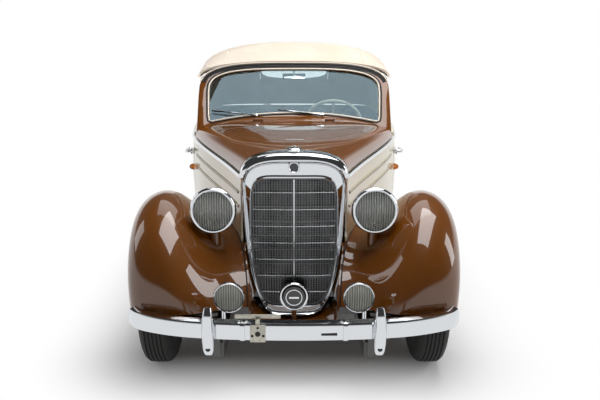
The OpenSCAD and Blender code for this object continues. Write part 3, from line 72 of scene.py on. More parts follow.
def pick(piece):
    bpy.ops.object.select_all(action="DESELECT")
    piece.select_set(True)
    bpy.context.view_layer.objects.active = piece


def editAll(piece):
    pick(piece)
    bpy.ops.object.mode_set(mode="EDIT")
    bpy.ops.mesh.select_all(action="SELECT")


def leaveEdit():
    bpy.ops.object.mode_set(mode="OBJECT")


def finishWith(piece, kind, **settings):
    pick(piece)
    modifier = piece.modifiers.new(kind.title(), kind)
    for key, value in settings.items():
        setattr(modifier, key, value)
    bpy.ops.object.modifier_apply(modifier=modifier.name)


def shadeByAngle(piece, angle=35):
    pick(piece)
    bpy.ops.object.shade_smooth_by_angle(angle=math.radians(angle))


def bothSides(piece):
    finishWith(piece, "MIRROR", use_axis=(True, False, False), use_mirror_merge=False)
    return piece


# Finish and body of a piece, hiding the node it stands for; its slot, told or that node's, is looked up but
# not put on the piece
def dress(piece, material, body="car_body", node=None, slot=None):
    piece.data.materials.clear()
    piece.data.materials.append(material)
    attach(piece, body)
    slot = slot or slotOf.get(node)
    if node:
        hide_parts(node)


def linked(name, data):
    piece = pieces.new(name, data)
    scene.collection.objects.link(piece)
    return piece


def newMesh(name, points, edges=(), faces=()):
    mesh = bpy.data.meshes.new(name)
    mesh.from_pydata([tuple(p) for p in points], edges, faces)
    return linked(name, mesh)


def copyNode(nodeName, pieceName):
    piece = linked(pieceName, nodes[nodeName].data.copy())
    editAll(piece)
    bpy.ops.mesh.customdata_custom_splitnormals_clear()
    bpy.ops.mesh.remove_doubles(threshold=0.00001)
    leaveEdit()
    return piece


def looseParts(piece):
    editAll(piece)
    bpy.ops.mesh.separate(type="LOOSE")
    leaveEdit()
    return list(bpy.context.selected_objects)


def boxOf(piece):
    places = [vertex.co for vertex in piece.data.vertices]
    return [Vector([end(place[k] for place in places) for k in range(3)]) for end in (min, max)]


# Where a straight look from a place first meets a piece, and the way the surface faces there
def meet(piece, start, way):
    hit, place, normal, face = piece.ray_cast(Vector(start), Vector(way))
    return (place, normal) if hit else (None, None)


def onTop(piece, x, y):
    return meet(piece, (x, y, 3), (0, 0, -1))[0]


# Faces that meet at more degrees than this make an edge that stays crisp
crisp = 40


# A pressed panel: the flat facets of the solid become a smooth sheet, and its rims stay crisp
def pressed(piece, levels=2):
    editAll(piece)
    bpy.ops.mesh.tris_convert_to_quads(face_threshold=math.radians(50), shape_threshold=math.radians(60),
                                       topology_influence=1.0)
    bpy.ops.mesh.select_all(action="DESELECT")
    bpy.ops.mesh.select_mode(type="EDGE")
    bpy.ops.mesh.edges_select_sharp(sharpness=math.radians(crisp))
    bpy.ops.transform.edge_crease(value=1.0)
    bpy.ops.mesh.select_mode(type="VERT")
    leaveEdit()
    finishWith(piece, "SUBSURF", levels=levels, render_levels=levels)
    shadeByAngle(piece, crisp)
    return piece


# A machined or cast piece: flat faces are made whole and the edges are eased
def eased(piece, width):
    editAll(piece)
    bpy.ops.mesh.dissolve_limited(angle_limit=math.radians(0.5))
    leaveEdit()
    finishWith(piece, "BEVEL", width=width, segments=2, limit_method="ANGLE",
               angle_limit=math.radians(crisp), use_clamp_overlap=True)
    shadeByAngle(piece, crisp)
    return piece


# A smooth path through the points
def flow(points, steps):
    points = [Vector(p) for p in points]
    points = points[:1] + points + points[-1:]
    path = []
    for a, b, c, d in zip(points, points[1:], points[2:], points[3:]):
        for k in range(steps):
            t = k / steps
            path.append(0.5 * (2 * b + (c - a) * t + (2 * a - 5 * b + 4 * c - d) * t * t
                               + (3 * b - a - 3 * c + d) * t ** 3))
    return path + points[-1:]


# A bead, wire or rolled edge along a path
def bead(name, path, radius, closed=False, rounds=3):
    curve = bpy.data.curves.new(name, "CURVE")
    curve.dimensions = "3D"
    curve.bevel_depth = radius
    curve.bevel_resolution = rounds
    curve.use_fill_caps = True
    spline = curve.splines.new("POLY")
    spline.points.add(len(path) - 1)
    for point, place in zip(spline.points, path):
        point.co = (place[0], place[1], place[2], 1)
    spline.use_cyclic_u = closed
    piece = linked(name, curve)
    pick(piece)
    bpy.ops.object.convert(target="MESH")
    shadeByAngle(piece, 50)
    return piece


# A turned piece: pairs of distance along the axis and radius, spun round
def turned(name, profile, centre, steps=64, axis=(0, 1, 0)):
    axis = Vector(axis).normalized()
    side = axis.orthogonal().normalized()
    centre = Vector(centre)
    points = [centre + axis * a + side * r for a, r in profile]
    piece = newMesh(name, points, [(i, i + 1) for i in range(len(points) - 1)])
    editAll(piece)
    bpy.ops.mesh.spin(steps=steps, angle=2 * math.pi, center=centre, axis=axis)
    bpy.ops.mesh.select_all(action="SELECT")
    bpy.ops.mesh.remove_doubles(threshold=0.00002)
    bpy.ops.mesh.normals_make_consistent(inside=False)
    leaveEdit()
    shadeByAngle(piece)
    return piece


# A block with eased edges, from its lowest to its highest corner
def block(name, low, high, ease, segments=2):
    low, high = Vector(low), Vector(high)
    bpy.ops.object.select_all(action="DESELECT")
    bpy.ops.mesh.primitive_cube_add(size=1, location=(low + high) / 2)
    piece = bpy.context.active_object
    piece.name = name
    bpy.ops.object.mode_set(mode="EDIT")
    bpy.ops.transform.resize(value=high - low)
    leaveEdit()
    bpy.ops.object.transform_apply(location=True, rotation=True, scale=True)
    finishWith(piece, "BEVEL", width=ease, segments=segments)
    shadeByAngle(piece)
    return piece


# Rows of points, each with the same count, become a thin sheet
def sheet(name, points, across, thickness, closed=False):
    faces = []
    for first in range(0, len(points) - across, across):
        for j in range(across if closed else across - 1):
            following = (j + 1) % across
            faces.append((first + j, first + following, first + across + following, first + across + j))
    piece = newMesh(name, points, (), faces)
    finishWith(piece, "SOLIDIFY", thickness=thickness, offset=0)
    return piece


# Faces chosen by a test are taken away, or take a second finish
def dropFaces(piece, test):
    editAll(piece)
    bpy.ops.mesh.select_mode(type="FACE")
    bpy.ops.mesh.select_all(action="DESELECT")
    leaveEdit()
    for face in piece.data.polygons:
        face.select = test(face)
    bpy.ops.object.mode_set(mode="EDIT")
    bpy.ops.mesh.delete(type="FACE")
    leaveEdit()


def linedWith(piece, material, test):
    piece.data.materials.append(material)
    last = len(piece.data.materials) - 1
    for face in piece.data.polygons:
        if test(face):
            face.material_index = last


# Materials

def toLinear(code):
    channels = [int(code[i:i + 2], 16) / 255 for i in (1, 3, 5)]
    return [c / 12.92 if c <= 0.04045 else ((c + 0.055) / 1.055) ** 2.4 for c in channels] + [1.0]


# A node with its settings and links; its first output may go into a socket of the material's shader
def addNode(tree, kind, links=None, into=None, tones=(), **settings):
    node = tree.nodes.new("ShaderNode" + kind)
    for key, value in settings.items():
        setattr(node, key, value)
    for socket, value in (links or {}).items():
        if isinstance(value, tuple) and hasattr(value[0], "outputs"):
            tree.links.new(value[0].outputs[value[1]], node.inputs[socket])
        else:
            node.inputs[socket].default_value = value
    for k, code in enumerate(tones):
        node.color_ramp.elements[k].color = toLinear(code)
    if into:
        tree.links.new(node.outputs[0], tree.nodes["Principled BSDF"].inputs[into])
    return node


def newMaterial(name, **sockets):
    material = bpy.data.materials.new(name)
    material.use_nodes = True
    tree = material.node_tree
    shader = tree.nodes["Principled BSDF"]
    for socket, value in sockets.items():
        shader.inputs[socket.replace("_", " ")].default_value = value
    place = addNode(tree, "TexCoord")
    return material, tree, (place, "Object")


# Nitrocellulose enamel, sprayed and polished: deep gloss with a faint orange peel and slow drifts of tone
def enamel(name, tone, deeper, peel=0.04):
    material, tree, place = newMaterial(name, Roughness=0.4, Specular_IOR_Level=0.15, Coat_Weight=1.0,
                                        Coat_Roughness=0.02, Coat_IOR=1.65)
    drift = addNode(tree, "TexNoise", {"Vector": place, "Scale": 2.2, "Detail": 3.0})
    mixed = addNode(tree, "Mix", {"Factor": (drift, "Fac")}, data_type="RGBA")
    mixed.inputs[6].default_value = toLinear(tone)
    mixed.inputs[7].default_value = toLinear(deeper)
    tree.links.new(mixed.outputs[2], tree.nodes["Principled BSDF"].inputs["Base Color"])
    # orange peel is about 2 mm across, drawn at 6 mm to show
    skin = addNode(tree, "TexNoise", {"Vector": place, "Scale": 170.0, "Detail": 1.0})
    addNode(tree, "Bump", {"Height": (skin, "Fac"), "Strength": peel, "Distance": 0.0006}, "Coat Normal")
    return material


brownEnamel = enamel("brown_nitro_enamel", "#7B4508", "#6B3A05")
creamEnamel = enamel("cream_nitro_enamel", "#E3D6B2", "#DCCDA6")
blackEnamel = enamel("black_chassis_enamel", "#15140F", "#221F1A", 0.1)

# Chrome plate, buffed: mirror-bright with faint polishing haze
chromePlate, tree, place = newMaterial("polished_chrome_plate", Metallic=1.0,
                                       Base_Color=toLinear("#D5D8DB"))
haze = addNode(tree, "TexNoise", {"Vector": place, "Scale": 34.0, "Detail": 4.0})
addNode(tree, "MapRange", {"Value": (haze, "Fac"), "To Min": 0.035, "To Max": 0.11}, "Roughness")


# A material whose colour drifts between two tones in soft clouds
def clouded(name, scale, detail, tones, **sockets):
    material, tree, place = newMaterial(name, **sockets)
    cloud = addNode(tree, "TexNoise", {"Vector": place, "Scale": scale, "Detail": detail})
    addNode(tree, "ValToRGB", {"Fac": (cloud, "Fac")}, "Base Color", tones)
    return material, tree, place


# Zinc-plated steel, dull grey with cloudy passivation
zincSteel, tree, place = clouded("zinc_plated_steel", 60.0, 5.0, ("#8C8A80", "#C9C6BA"), Metallic=1.0)
cloud = tree.nodes["Noise Texture"]
addNode(tree, "MapRange", {"Value": (cloud, "Fac"), "To Min": 0.28, "To Max": 0.5}, "Roughness")

# Cast iron and rolled steel under the car: grey, grainy, a little oily
castIron, tree, place = clouded("grey_cast_iron", 9.0, 3.0, ("#3A3834", "#6F6D68"), Metallic=0.85,
                                Roughness=0.52)
grain = addNode(tree, "TexNoise", {"Vector": place, "Scale": 240.0, "Detail": 6.0})
addNode(tree, "Bump", {"Height": (grain, "Fac"), "Strength": 0.35, "Distance": 0.0008}, "Normal")

# Drawn wire of the grille, nickel over steel gone dark
darkWire = clouded("dark_nickel_wire", 18.0, 3.0, ("#4A4B4C", "#707172"), Metallic=1.0, Roughness=0.34)[0]


# Vulcanised rubber: near black, matt, with a grain drawn at about 2 mm to show and grey bloom
def rubber(name, dark, bloom, grainScale, roughness):
    material, tree, place = clouded(name, 14.0, 6.0, (dark, bloom), Roughness=roughness)
    grain = addNode(tree, "TexNoise", {"Vector": place, "Scale": grainScale, "Detail": 3.0})
    addNode(tree, "Bump", {"Height": (grain, "Fac"), "Strength": 0.25, "Distance": 0.0005}, "Normal")
    return material


tyreRubber = rubber("tyre_rubber", "#121211", "#262523", 400.0, 0.68)
# the same black rubber also serves as painted shade: lines under the bonnet ribs, and the bumper's holes,
# slot and drains
blackRubberAndShade = rubber("black_rubber_and_painted_shade", "#0C0C0B", "#181817", 600.0, 0.5)

# Cotton duck of the top: plain weave, 0.7 mm threads drawn at 2.4 mm to show, slightly faded and soiled
topCanvas, tree, place = newMaterial("beige_cotton_duck", Roughness=0.88, Sheen_Weight=0.25,
                                     Sheen_Roughness=0.5)
soil = addNode(tree, "TexNoise", {"Vector": place, "Scale": 3.0, "Detail": 6.0})
tone = addNode(tree, "ValToRGB", {"Fac": (soil, "Fac")}, "Base Color", ("#DDCBB6", "#ECDFD0"))
tone.color_ramp.elements[0].position = 0.3
tone.color_ramp.elements[1].position = 0.7
thread = {"Vector": place, "Scale": 130.0, "Distortion": 0.6}
warp = addNode(tree, "TexWave", thread, bands_direction="X")
weft = addNode(tree, "TexWave", thread, bands_direction="DIAGONAL")
weave = addNode(tree, "Math", {0: (warp, "Fac"), 1: (weft, "Fac")}, operation="MULTIPLY")
addNode(tree, "Bump", {"Height": (weave, 0), "Strength": 0.35, "Distance": 0.0008}, "Normal")

# Hide upholstery: tan, pebbled grain of 1 to 2 mm drawn at 3 mm to show, a soft sheen and paler wear
seatHide, tree, place = clouded("tan_upholstery_hide", 5.0, 5.0, ("#8F5A2C", "#B27B45"), Roughness=0.46,
                                Coat_Weight=0.15, Coat_Roughness=0.35)
pebble = addNode(tree, "TexVoronoi", {"Vector": place, "Scale": 330.0})
addNode(tree, "Bump", {"Height": (pebble, "Distance"), "Strength": 0.3, "Distance": 0.0008}, "Normal")

# Looped wool carpet: dull brown, loops about 4 mm across
woolCarpet, tree, place = newMaterial("brown_wool_carpet", Roughness=0.95, Sheen_Weight=0.4)
tuft = addNode(tree, "TexVoronoi", {"Vector": place, "Scale": 260.0})
addNode(tree, "ValToRGB", {"Fac": (tuft, "Distance")}, "Base Color", ("#5A3D22", "#2E1E10"))
addNode(tree, "Bump", {"Height": (tuft, "Distance"), "Strength": 0.8, "Distance": 0.003}, "Normal")

# Walnut veneer under varnish: long figure along the board
walnut, tree, place = newMaterial("varnished_walnut", Roughness=0.3, Coat_Weight=0.8, Coat_Roughness=0.06)
along = addNode(tree, "Mapping", {"Vector": place, "Scale": (1.2, 9.0, 9.0)})
figure = addNode(tree, "TexWave", {"Vector": (along, 0), "Scale": 2.4, "Distortion": 9.0, "Detail": 4.0},
                 bands_direction="Z")
addNode(tree, "ValToRGB", {"Fac": (figure, "Fac")}, "Base Color", ("#3B1F0E", "#7A4A22"))

# Cast phenolic of the steering wheel, ivory and polished
ivoryPhenolic = clouded("ivory_cast_phenolic", 25.0, 4.0, ("#E4DCBF", "#F0EAD6"), Roughness=0.22,
                        Subsurface_Weight=0.05)[0]

# Ivory enamel of the dial marks and the head welt; on the bead round the windscreen its pale tone is a
# painted reflection of bright surroundings in the strip
ivoryPaintAndReflection = enamel("ivory_enamel_and_painted_reflection", "#F1E6D6", "#E9DCC8", 0.02)

# A band texture repeats about every bandRepeat / scale metres
bandRepeat = 0.314


# Glass: drawn sheet has a faint ripple, pressed lamp glass has a flute every pitch; given a shade tone, the
# flutes are also coloured in stripes from it to the tint, which is painted light and shade
def glass(name, tint, roughness, flute=0.0, pitch=0.01, direction="X", clear=1.0, shade=None):
    material, tree, place = newMaterial(name, Roughness=roughness, IOR=1.46, Transmission_Weight=clear,
                                        Base_Color=toLinear(tint))
    if flute:
        ribs = addNode(tree, "TexWave", {"Vector": place, "Scale": bandRepeat / pitch},
                       bands_direction=direction)
        addNode(tree, "Bump", {"Height": (ribs, "Fac"), "Strength": flute, "Distance": 0.004}, "Normal")
        # painted light and shade: darker and paler stripes along the flutes
        if shade:
            addNode(tree, "ValToRGB", {"Fac": (ribs, "Fac")}, "Base Color", (shade, tint))
    else:
        ripple = addNode(tree, "TexNoise", {"Vector": place, "Scale": 5.0, "Detail": 1.0})
        addNode(tree, "Bump", {"Height": (ripple, "Fac"), "Strength": 0.02, "Distance": 0.003}, "Normal")
    return material


windowGlass = glass("drawn_sheet_glass", "#DCE8EA", 0.0)
# the reflections in the glass are tinted pale blue: painted reflection colour, standing for bluish
# surroundings
windowGlass.node_tree.nodes["Principled BSDF"].inputs["Specular Tint"].default_value = toLinear("#C9E6F5")
# the last tone of each fluted glass is the painted shade of its flutes
lampGlass = glass("fluted_lamp_glass", "#FAFCF8", 0.03, 0.2, 0.0115, "X", 0.66, "#90948F")
fogGlass = glass("fluted_fog_glass", "#FBFAEE", 0.05, 0.8, 0.0105, "X", 0.2, "#A6A79A")
amberGlass = glass("amber_lamp_glass", "#F08A10", 0.08, 0.5, 0.006, "Z")
rubyGlass = glass("ruby_lamp_glass", "#C4140F", 0.08, 0.5, 0.006, "Z")

# Vacuum-silvered reflector: bright, with a soft haze
silvered, tree, place = newMaterial("silvered_reflector", Metallic=1.0, Base_Color=toLinear("#D2D3CE"))
haze = addNode(tree, "TexNoise", {"Vector": place, "Scale": 50.0, "Detail": 2.0})
addNode(tree, "MapRange", {"Value": (haze, "Fac"), "To Min": 0.08, "To Max": 0.2}, "Roughness")

# Enamel of the plain medallion, dark blue under a polished coat
medallionEnamel = enamel("dark_blue_vitreous_enamel", "#1B2334", "#141A28", 0.02)
# Black paint of the dials and of the horn's face; in the horn's groove the same black is painted shade
dialPaintAndGrooveShade = enamel("black_dial_paint_and_groove_shade", "#16150F", "#1E1C16", 0.05)
print("materials made:", len(bpy.data.materials))

# Body panels: node, piece, finish, levels of smoothing, and the body if it is not the car's own
panels = [
    ("front_fenders", "front_fender_panels", brownEnamel, 2),
    ("rear_fenders", "rear_fender_panels", brownEnamel, 2),
    ("front_apron", "nose_apron_panel", brownEnamel, 2),
    ("hood_sides", "bonnet_side_panels", creamEnamel, 1),
    ("hood", "bonnet_lid_panel", brownEnamel, 2, "bonnet"),
    ("cowl_top", "scuttle_panel", brownEnamel, 2),
    ("cowl_sides", "scuttle_side_panels", creamEnamel, 2),
    ("door_left", "door_left_shell", creamEnamel, 2, "side_door_left"),
    ("door_right", "door_right_shell", creamEnamel, 2, "side_door_right"),
    ("rear_body", "rear_body_panel", creamEnamel, 2),
    ("boot_lid", "luggage_lid_panel", brownEnamel, 2, "luggage_lid"),
    ("radiator_shell", "radiator_surround", chromePlate, 2),
    ("belt_trim", "belt_mouldings", chromePlate, 2),
    ("door_fittings_left", "door_left_brightwork", chromePlate, 2, "side_door_left"),
    ("door_fittings_right", "door_right_brightwork", chromePlate, 2, "side_door_right"),
    ("front_bumper", "front_bumper_blade", chromePlate, 2),
    ("rear_bumper", "rear_bumper_blade", chromePlate, 2),
    ("door_glass_left", "door_left_pane", windowGlass, 1, "side_door_left"),
    ("door_glass_right", "door_right_pane", windowGlass, 1, "side_door_right"),
    ("rear_window", "rear_pane", windowGlass, 1),
]
for node, name, finish, levels, *body in panels:
    dress(pressed(copyNode(node, name), levels), finish, *body, node=node)
print("body panels done")

# Turned, cast and cut pieces: the same, with the width of the eased edges
solids = [
    ("windscreen_frame", "windscreen_surround", brownEnamel, 0.006),
    ("wipers", "wiper_arms", chromePlate, 0.0008),
    ("mirror", "driving_mirror", chromePlate, 0.002),
    ("fixed_hinges", "hinge_plates", brownEnamel, 0.001),
    ("lamp_rims", "lamp_rims_and_horn", chromePlate, 0.0012),
    ("steering_wheel", "steering_wheel_rim", ivoryPhenolic, 0.002, "steering"),
    ("steering_column", "steering_column_tube", blackEnamel, 0.001),
    ("dashboard", "dash_board", walnut, 0.008),
    ("running_boards", "running_board_pans", brownEnamel, 0.006),
]
for node, name, finish, width, *body in solids:
    dress(eased(copyNode(node, name), width), finish, *body, node=node)
print("solid pieces done")

# Nodes whose own shape is right get a finish
finishes = {
    "chassis_frame": blackEnamel, "jack_arms": blackEnamel, "front_suspension": blackEnamel,
    "rear_axle": blackEnamel, "floor_pan": woolCarpet, "fuel_tank": blackEnamel, "engine": castIron,
    "exhaust": castIron, "knuckle_left": castIron, "knuckle_right": castIron,
    "windscreen_glass": windowGlass, "grille": darkWire, "side_lamps": amberGlass, "tail_lamps": rubyGlass,
}
for node, finish in finishes.items():
    nodes[node].data.materials.clear()
    nodes[node].data.materials.append(finish)

# Linings: hide inside the doors, carpet inside the rear body, silver on the face of the mirror
for side, sign in sides.items():
    shell = pieces["door_" + side + "_shell"]
    linedWith(shell, seatHide, lambda f: f.normal.x * sign < -0.75)
linedWith(pieces["rear_body_panel"], woolCarpet,
          lambda f: f.normal.x * f.center.x < -0.05 and f.normal.z < 0.3 or f.normal.z < -0.3)
linedWith(pieces["driving_mirror"], silvered, lambda f: f.normal.y > 0.8)

# Fabric top: one padded skin over the bows, with a slight hollow between them and a seam on each side
top = {"bows": (-0.09, 0.22, 0.53, 0.80, 1.06), "hollow": 0.006, "eaves": 1.3, "rise": 0.1,
       "seamX": 0.46, "seamStart": -0.12, "seamStep": 0.05, "seamPoints": 26, "seamRadius": 0.0035}
fabricTop = pressed(copyNode("soft_top", "fabric_top"))
for vertex in fabricTop.data.vertices:
    place = vertex.co
    for a, b in zip(top["bows"], top["bows"][1:]):
        if a < place.y < b and place.z > top["eaves"]:
            dip = math.sin(math.pi * (place.y - a) / (b - a)) ** 2
            place.z -= top["hollow"] * dip * min(1, (place.z - top["eaves"]) / top["rise"])
dress(fabricTop, topCanvas, node="soft_top")
for side, sign in sides.items():
    line = [onTop(fabricTop, sign * top["seamX"], top["seamStart"] + k * top["seamStep"])
            for k in range(top["seamPoints"])]
    seam = bead("top_seam_" + side, [p + Vector((0, 0, 0.001)) for p in line if p], top["seamRadius"])
    dress(seam, topCanvas, slot=slotOf.get("soft_top"))

# Rear window: sewn surround inside and out, with round ends
rearPane = pieces["rear_pane"]
low, high = boxOf(rearPane)
opening = {"half": min(-low.x, high.x) - 0.002, "middle": (low.z + high.z) / 2,
           "tall": (high.z - low.z) / 2 - 0.003, "steps": 72, "inset": 0.009, "proud": 0.0015,
           "thick": 0.002, "power": 2 / 3}


def onPane(x, z, eye, way):
    place, normal = meet(rearPane, (x, eye, opening["middle"] + z), (0, way, 0))
    return place + normal * opening["proud"] if place else None


def paneRing(name, eye, way):
    outer, inner = [], []
    half, tall, inset, steps = [opening[key] for key in ("half", "tall", "inset", "steps")]
    for k in range(steps):
        turn = 2 * math.pi * k / steps
        c, d = math.cos(turn), math.sin(turn)
        x, z = half * c / max(abs(c), abs(d)), tall * d / max(abs(c), abs(d))
        # the furthest point outwards that is still on the pane
        reached = [onPane(x * t / 100, z * t / 100, eye, way) for t in range(60, 121)]
        outer.append([point for point in reached if point][-1])
        x = math.copysign((half - inset) * abs(c) ** opening["power"], c)
        z = math.copysign((tall - inset) * abs(d) ** opening["power"], d)
        inner.append(onPane(x, z, eye, way) or outer[-1])
    ring = sheet(name, outer + inner, steps, opening["thick"], True)
    shadeByAngle(ring, crisp)
    dress(ring, topCanvas)


paneRing("rear_window_surround", 3.0, -1)
paneRing("rear_window_inner_surround", 0.6, 1)
print("fabric top done")

# Windscreen: plane leaning back, bead and rubber round the glass, the bead's ivory a painted reflection,
# mouldings along the head
screen = {"rake": math.radians(33), "foot": -0.496, "belt": 0.985, "middle": 1.25}
screenOut = Vector((0, -math.cos(screen["rake"]), math.sin(screen["rake"])))


def onScreen(x, z, out):
    y = screen["foot"] + (z - screen["belt"]) * math.tan(screen["rake"])
    return Vector((x, y, z)) + screenOut * out


pane = nodes["windscreen_glass"].data
front = max(v.co.dot(screenOut) for v in pane.vertices)
rim = {tuple(round(c, 5) for c in v.co) for v in pane.vertices if v.co.dot(screenOut) > front - 0.0005}
rim = sorted((Vector(c) for c in rim), key=lambda c: math.atan2(c.z - screen["middle"], c.x))


def offsetLoop(points, wider, out):
    moved = []
    for i, point in enumerate(points):
        along = (points[(i + 1) % len(points)] - points[i - 1]).normalized()
        moved.append(point + along.cross(screenOut) * wider + screenOut * out)
    return moved


# painted reflection: the bead is coloured ivory where a strip mirrors bright surroundings
dress(bead("windscreen_bead", offsetLoop(rim, -0.004, 0.013), 0.0055, True), ivoryPaintAndReflection, slot="cream_paint")
dress(bead("windscreen_rubber", offsetLoop(rim, 0.006, 0.0125), 0.006, True), blackRubberAndShade)

# Mouldings along the head: name, drop from the edge, distance out, radius, finish
head = {"half": 0.613, "tall": 0.202, "middle": 1.230, "power": 2 / 3.4, "from": 14, "steps": 60}
mouldings = [("head_welt", 0.002, 0.001, 0.0048, ivoryPaintAndReflection),
             ("head_rubber", 0.0125, 0.0, 0.0062, blackRubberAndShade),
             ("head_rubber_lip", 0.0235, -0.001, 0.0065, blackRubberAndShade)]
for name, drop, out, radius, finish in mouldings:
    line = []
    for k in range(head["steps"] + 1):
        a = math.radians(head["from"] + k * (180 - 2 * head["from"]) / head["steps"])
        x = math.copysign((head["half"] - drop) * abs(math.cos(a)) ** head["power"], math.cos(a))
        z = head["middle"] + (head["tall"] - drop) * math.sin(a) ** head["power"]
        line.append(onScreen(x, z, out))
    dress(bead(name, line, radius), finish)
print("windscreen trim done")

# Wiper blades: a rubber lip under each blade, along the curved sill of the windscreen
wiper = {"sill": 1.122, "sag": 0.054, "half": 0.532, "near": (0.075, 0.002), "far": (0.285, 0.022),
         "out": 0.005, "radius": 0.003}
for x, side in ((-0.238, "left"), (0.182, "right")):
    sill = wiper["sill"] - wiper["sag"] * (x / wiper["half"]) ** 2
    line = [onScreen(x - away, sill + up, wiper["out"]) for away, up in (wiper["near"], wiper["far"])]
    dress(bead("wiper_rubber_" + side, line, wiper["radius"]), blackRubberAndShade)

# Tyres: ribbed tread turned from one section, copied to each corner
tyre = {"radius": 0.340, "bead": 0.1926, "grooves": (-0.036, -0.018, 0.0, 0.018, 0.036), "deep": 0.0065,
        "lip": 0.0036, "foot": 0.0018, "crown": 1.2, "steps": 60}
b = tyre["bead"]
flank = [(0.046, b), (0.057, b), (0.0575, b + 0.014), (0.066, b + 0.020), (0.0728, b + 0.043),
         (0.0742, b + 0.055), (0.0738, b + 0.058), (0.075, b + 0.073), (0.0742, 0.285), (0.070, 0.303),
         (0.0655, 0.316), (0.0622, 0.319), (0.060, 0.3255), (0.0465, 0.3365)]
tread = []
for groove in tyre["grooves"]:
    crown = tyre["radius"] - tyre["crown"] * groove ** 2
    tread += [(groove - tyre["lip"], crown), (groove - tyre["foot"], crown - tyre["deep"]),
              (groove + tyre["foot"], crown - tyre["deep"]), (groove + tyre["lip"], crown)]
inside = [(0.060, 0.24), (0.058, 0.30), (0.0, 0.326), (-0.058, 0.30), (-0.060, 0.24), (-0.046, b)]
section = [(-x, r) for x, r in flank] + tread + flank[::-1] + inside
corners = {"front_left": (0.6575, -1.55), "front_right": (-0.6575, -1.55), "rear_left": (0.710, 1.295),
           "rear_right": (-0.710, 1.295)}
bore = {"radius": 0.018, "clearance": 0.0008}
firstTyre = turned("tyre_model", section, (0, 0, tyre["radius"]), tyre["steps"], (1, 0, 0))
for corner, (x, y) in corners.items():
    body = "road_wheel_" + corner
    cover = linked("ribbed_tyre_" + corner, firstTyre.data.copy())
    editAll(cover)
    bpy.ops.transform.translate(value=(x, y, 0))
    leaveEdit()
    dress(cover, tyreRubber, body, "tyre_" + corner)
    wheel = eased(copyNode("wheel_" + corner, "wheel_disc_" + corner), 0.0015)
    disc, cap = sorted(looseParts(wheel), key=lambda part: max(abs(v.co.x) for v in part.data.vertices))
    disc.name, cap.name = "wheel_disc_" + corner, "hub_cap_" + corner
    # running clearance round the stub axle
    for vertex in disc.data.vertices:
        place = vertex.co
        away = math.hypot(place.y - y, place.z - tyre["radius"])
        if away < bore["radius"] + 0.001:
            grow = (bore["radius"] + bore["clearance"]) / max(away, 0.001)
            place.y = y + (place.y - y) * grow
            place.z = tyre["radius"] + (place.z - tyre["radius"]) * grow
    dress(disc, brownEnamel, body, "wheel_" + corner)
    dress(cap, chromePlate, body, "wheel_" + corner, "bright_chrome")
pieces.remove(firstTyre)
print("wheels done")

# Headlamps: open bowls with a silvered dish, bulb and a thin fluted glass
headlamp = {"place": (0.376, -1.755, 0.813), "faceBack": 0.012, "open": 0.07}
x, y, z = headlamp["place"]
bowls = eased(copyNode("headlamps", "headlamp_bowls"), 0.001)
dropFaces(bowls, lambda f: f.normal.y < -0.9 and abs(f.center.y - y - headlamp["faceBack"]) < 0.004
          and math.hypot(abs(f.center.x) - x, f.center.z - z) < headlamp["open"])
dress(bowls, brownEnamel, node="headlamps")
dish = [(0.0125, 0.0925), (0.020, 0.0895), (0.034, 0.081), (0.050, 0.067), (0.063, 0.048), (0.071, 0.028),
        (0.0735, 0.012), (0.074, 0.0)]
dress(bothSides(turned("headlamp_dishes", dish, headlamp["place"], 72)), silvered)
bulb = [(0.0735, 0.011), (0.060, 0.012), (0.055, 0.010), (0.046, 0.0145), (0.036, 0.0135), (0.030, 0.008),
        (0.029, 0.0)]
dress(bothSides(turned("headlamp_bulbs", bulb, headlamp["place"], 32)), chromePlate)

# Lenses: name, place, radius, crown, lip, thickness, finish
fogPlace = (0.282, -2.042, 0.496)
lenses = [("headlamp_glasses", headlamp["place"], 0.0926, 0.019, 0.005, 0.004, lampGlass),
          ("fog_lamp_glasses", fogPlace, 0.0606, 0.011, 0.003, 0.005, fogGlass)]
for name, place, edge, crown, lip, thickness, finish in lenses:
    outer = [(lip - crown * (1 - (k / 9) ** 2), edge * k / 9) for k in range(10)]
    inner = [(a + thickness, r) for a, r in reversed(outer)]
    dress(bothSides(turned(name, outer + inner, place)), finish, node="lamp_lenses")
print("lamps done")

# Grille: fine woven wire behind the bars, in two halves that meet at the middle rib
grille = {"front": -1.6508, "vee": 0.012, "half": 0.2, "behind": 0.006, "middle": 0.64, "inset": 0.006,
          "foot": 0.320, "top": 0.950, "mesh": 0.0115, "wire": 0.0012, "over": 0.0015,
          "barTop": 0.880, "barStep": 0.0825, "bars": 7, "barOut": 0.0085, "barRadius": 0.0017,
          "ribOut": 0.009, "ribRadius": 0.0045}
# height and half width of the opening, then how square and how tall its upper and lower halves are
openingRows = [(0.318, 0.160), (0.400, 0.178), (0.585, 0.205), (0.880, 0.203), (0.952, 0.200)]
upperHalf, lowerHalf = (8, 0.312), (6, 0.322)


def grilleReach(z):
    width = openingRows[-1][1]
    for (z0, w0), (z1, w1) in zip(openingRows, openingRows[1:]):
        if z0 <= z <= z1:
            width = w0 + (w1 - w0) * (z - z0) / (z1 - z0)
    power, height = upperHalf if z > grille["middle"] else lowerHalf
    lift = min(0.999, abs(z - grille["middle"]) / height) ** (power / 2)
    return width * (1 - lift * lift) ** (1 / power) - grille["inset"]


def grilleY(x):
    return grille["front"] - grille["vee"] * (1 - abs(x) / grille["half"]) + grille["behind"]


points, faces = [], []


def layWire(a, b):
    a, b = Vector(a), Vector(b)
    across = (b - a).cross(Vector((0, 1, 0))).normalized() * grille["wire"]
    deep = Vector((0, grille["wire"], 0))
    first = len(points)
    for end in (a, b):
        points.extend([end - across - deep, end + across - deep, end + across + deep, end - across + deep])
    for k in range(4):
        following = (k + 1) % 4
        faces.append((first + k, first + following, first + 4 + following, first + 4 + k))


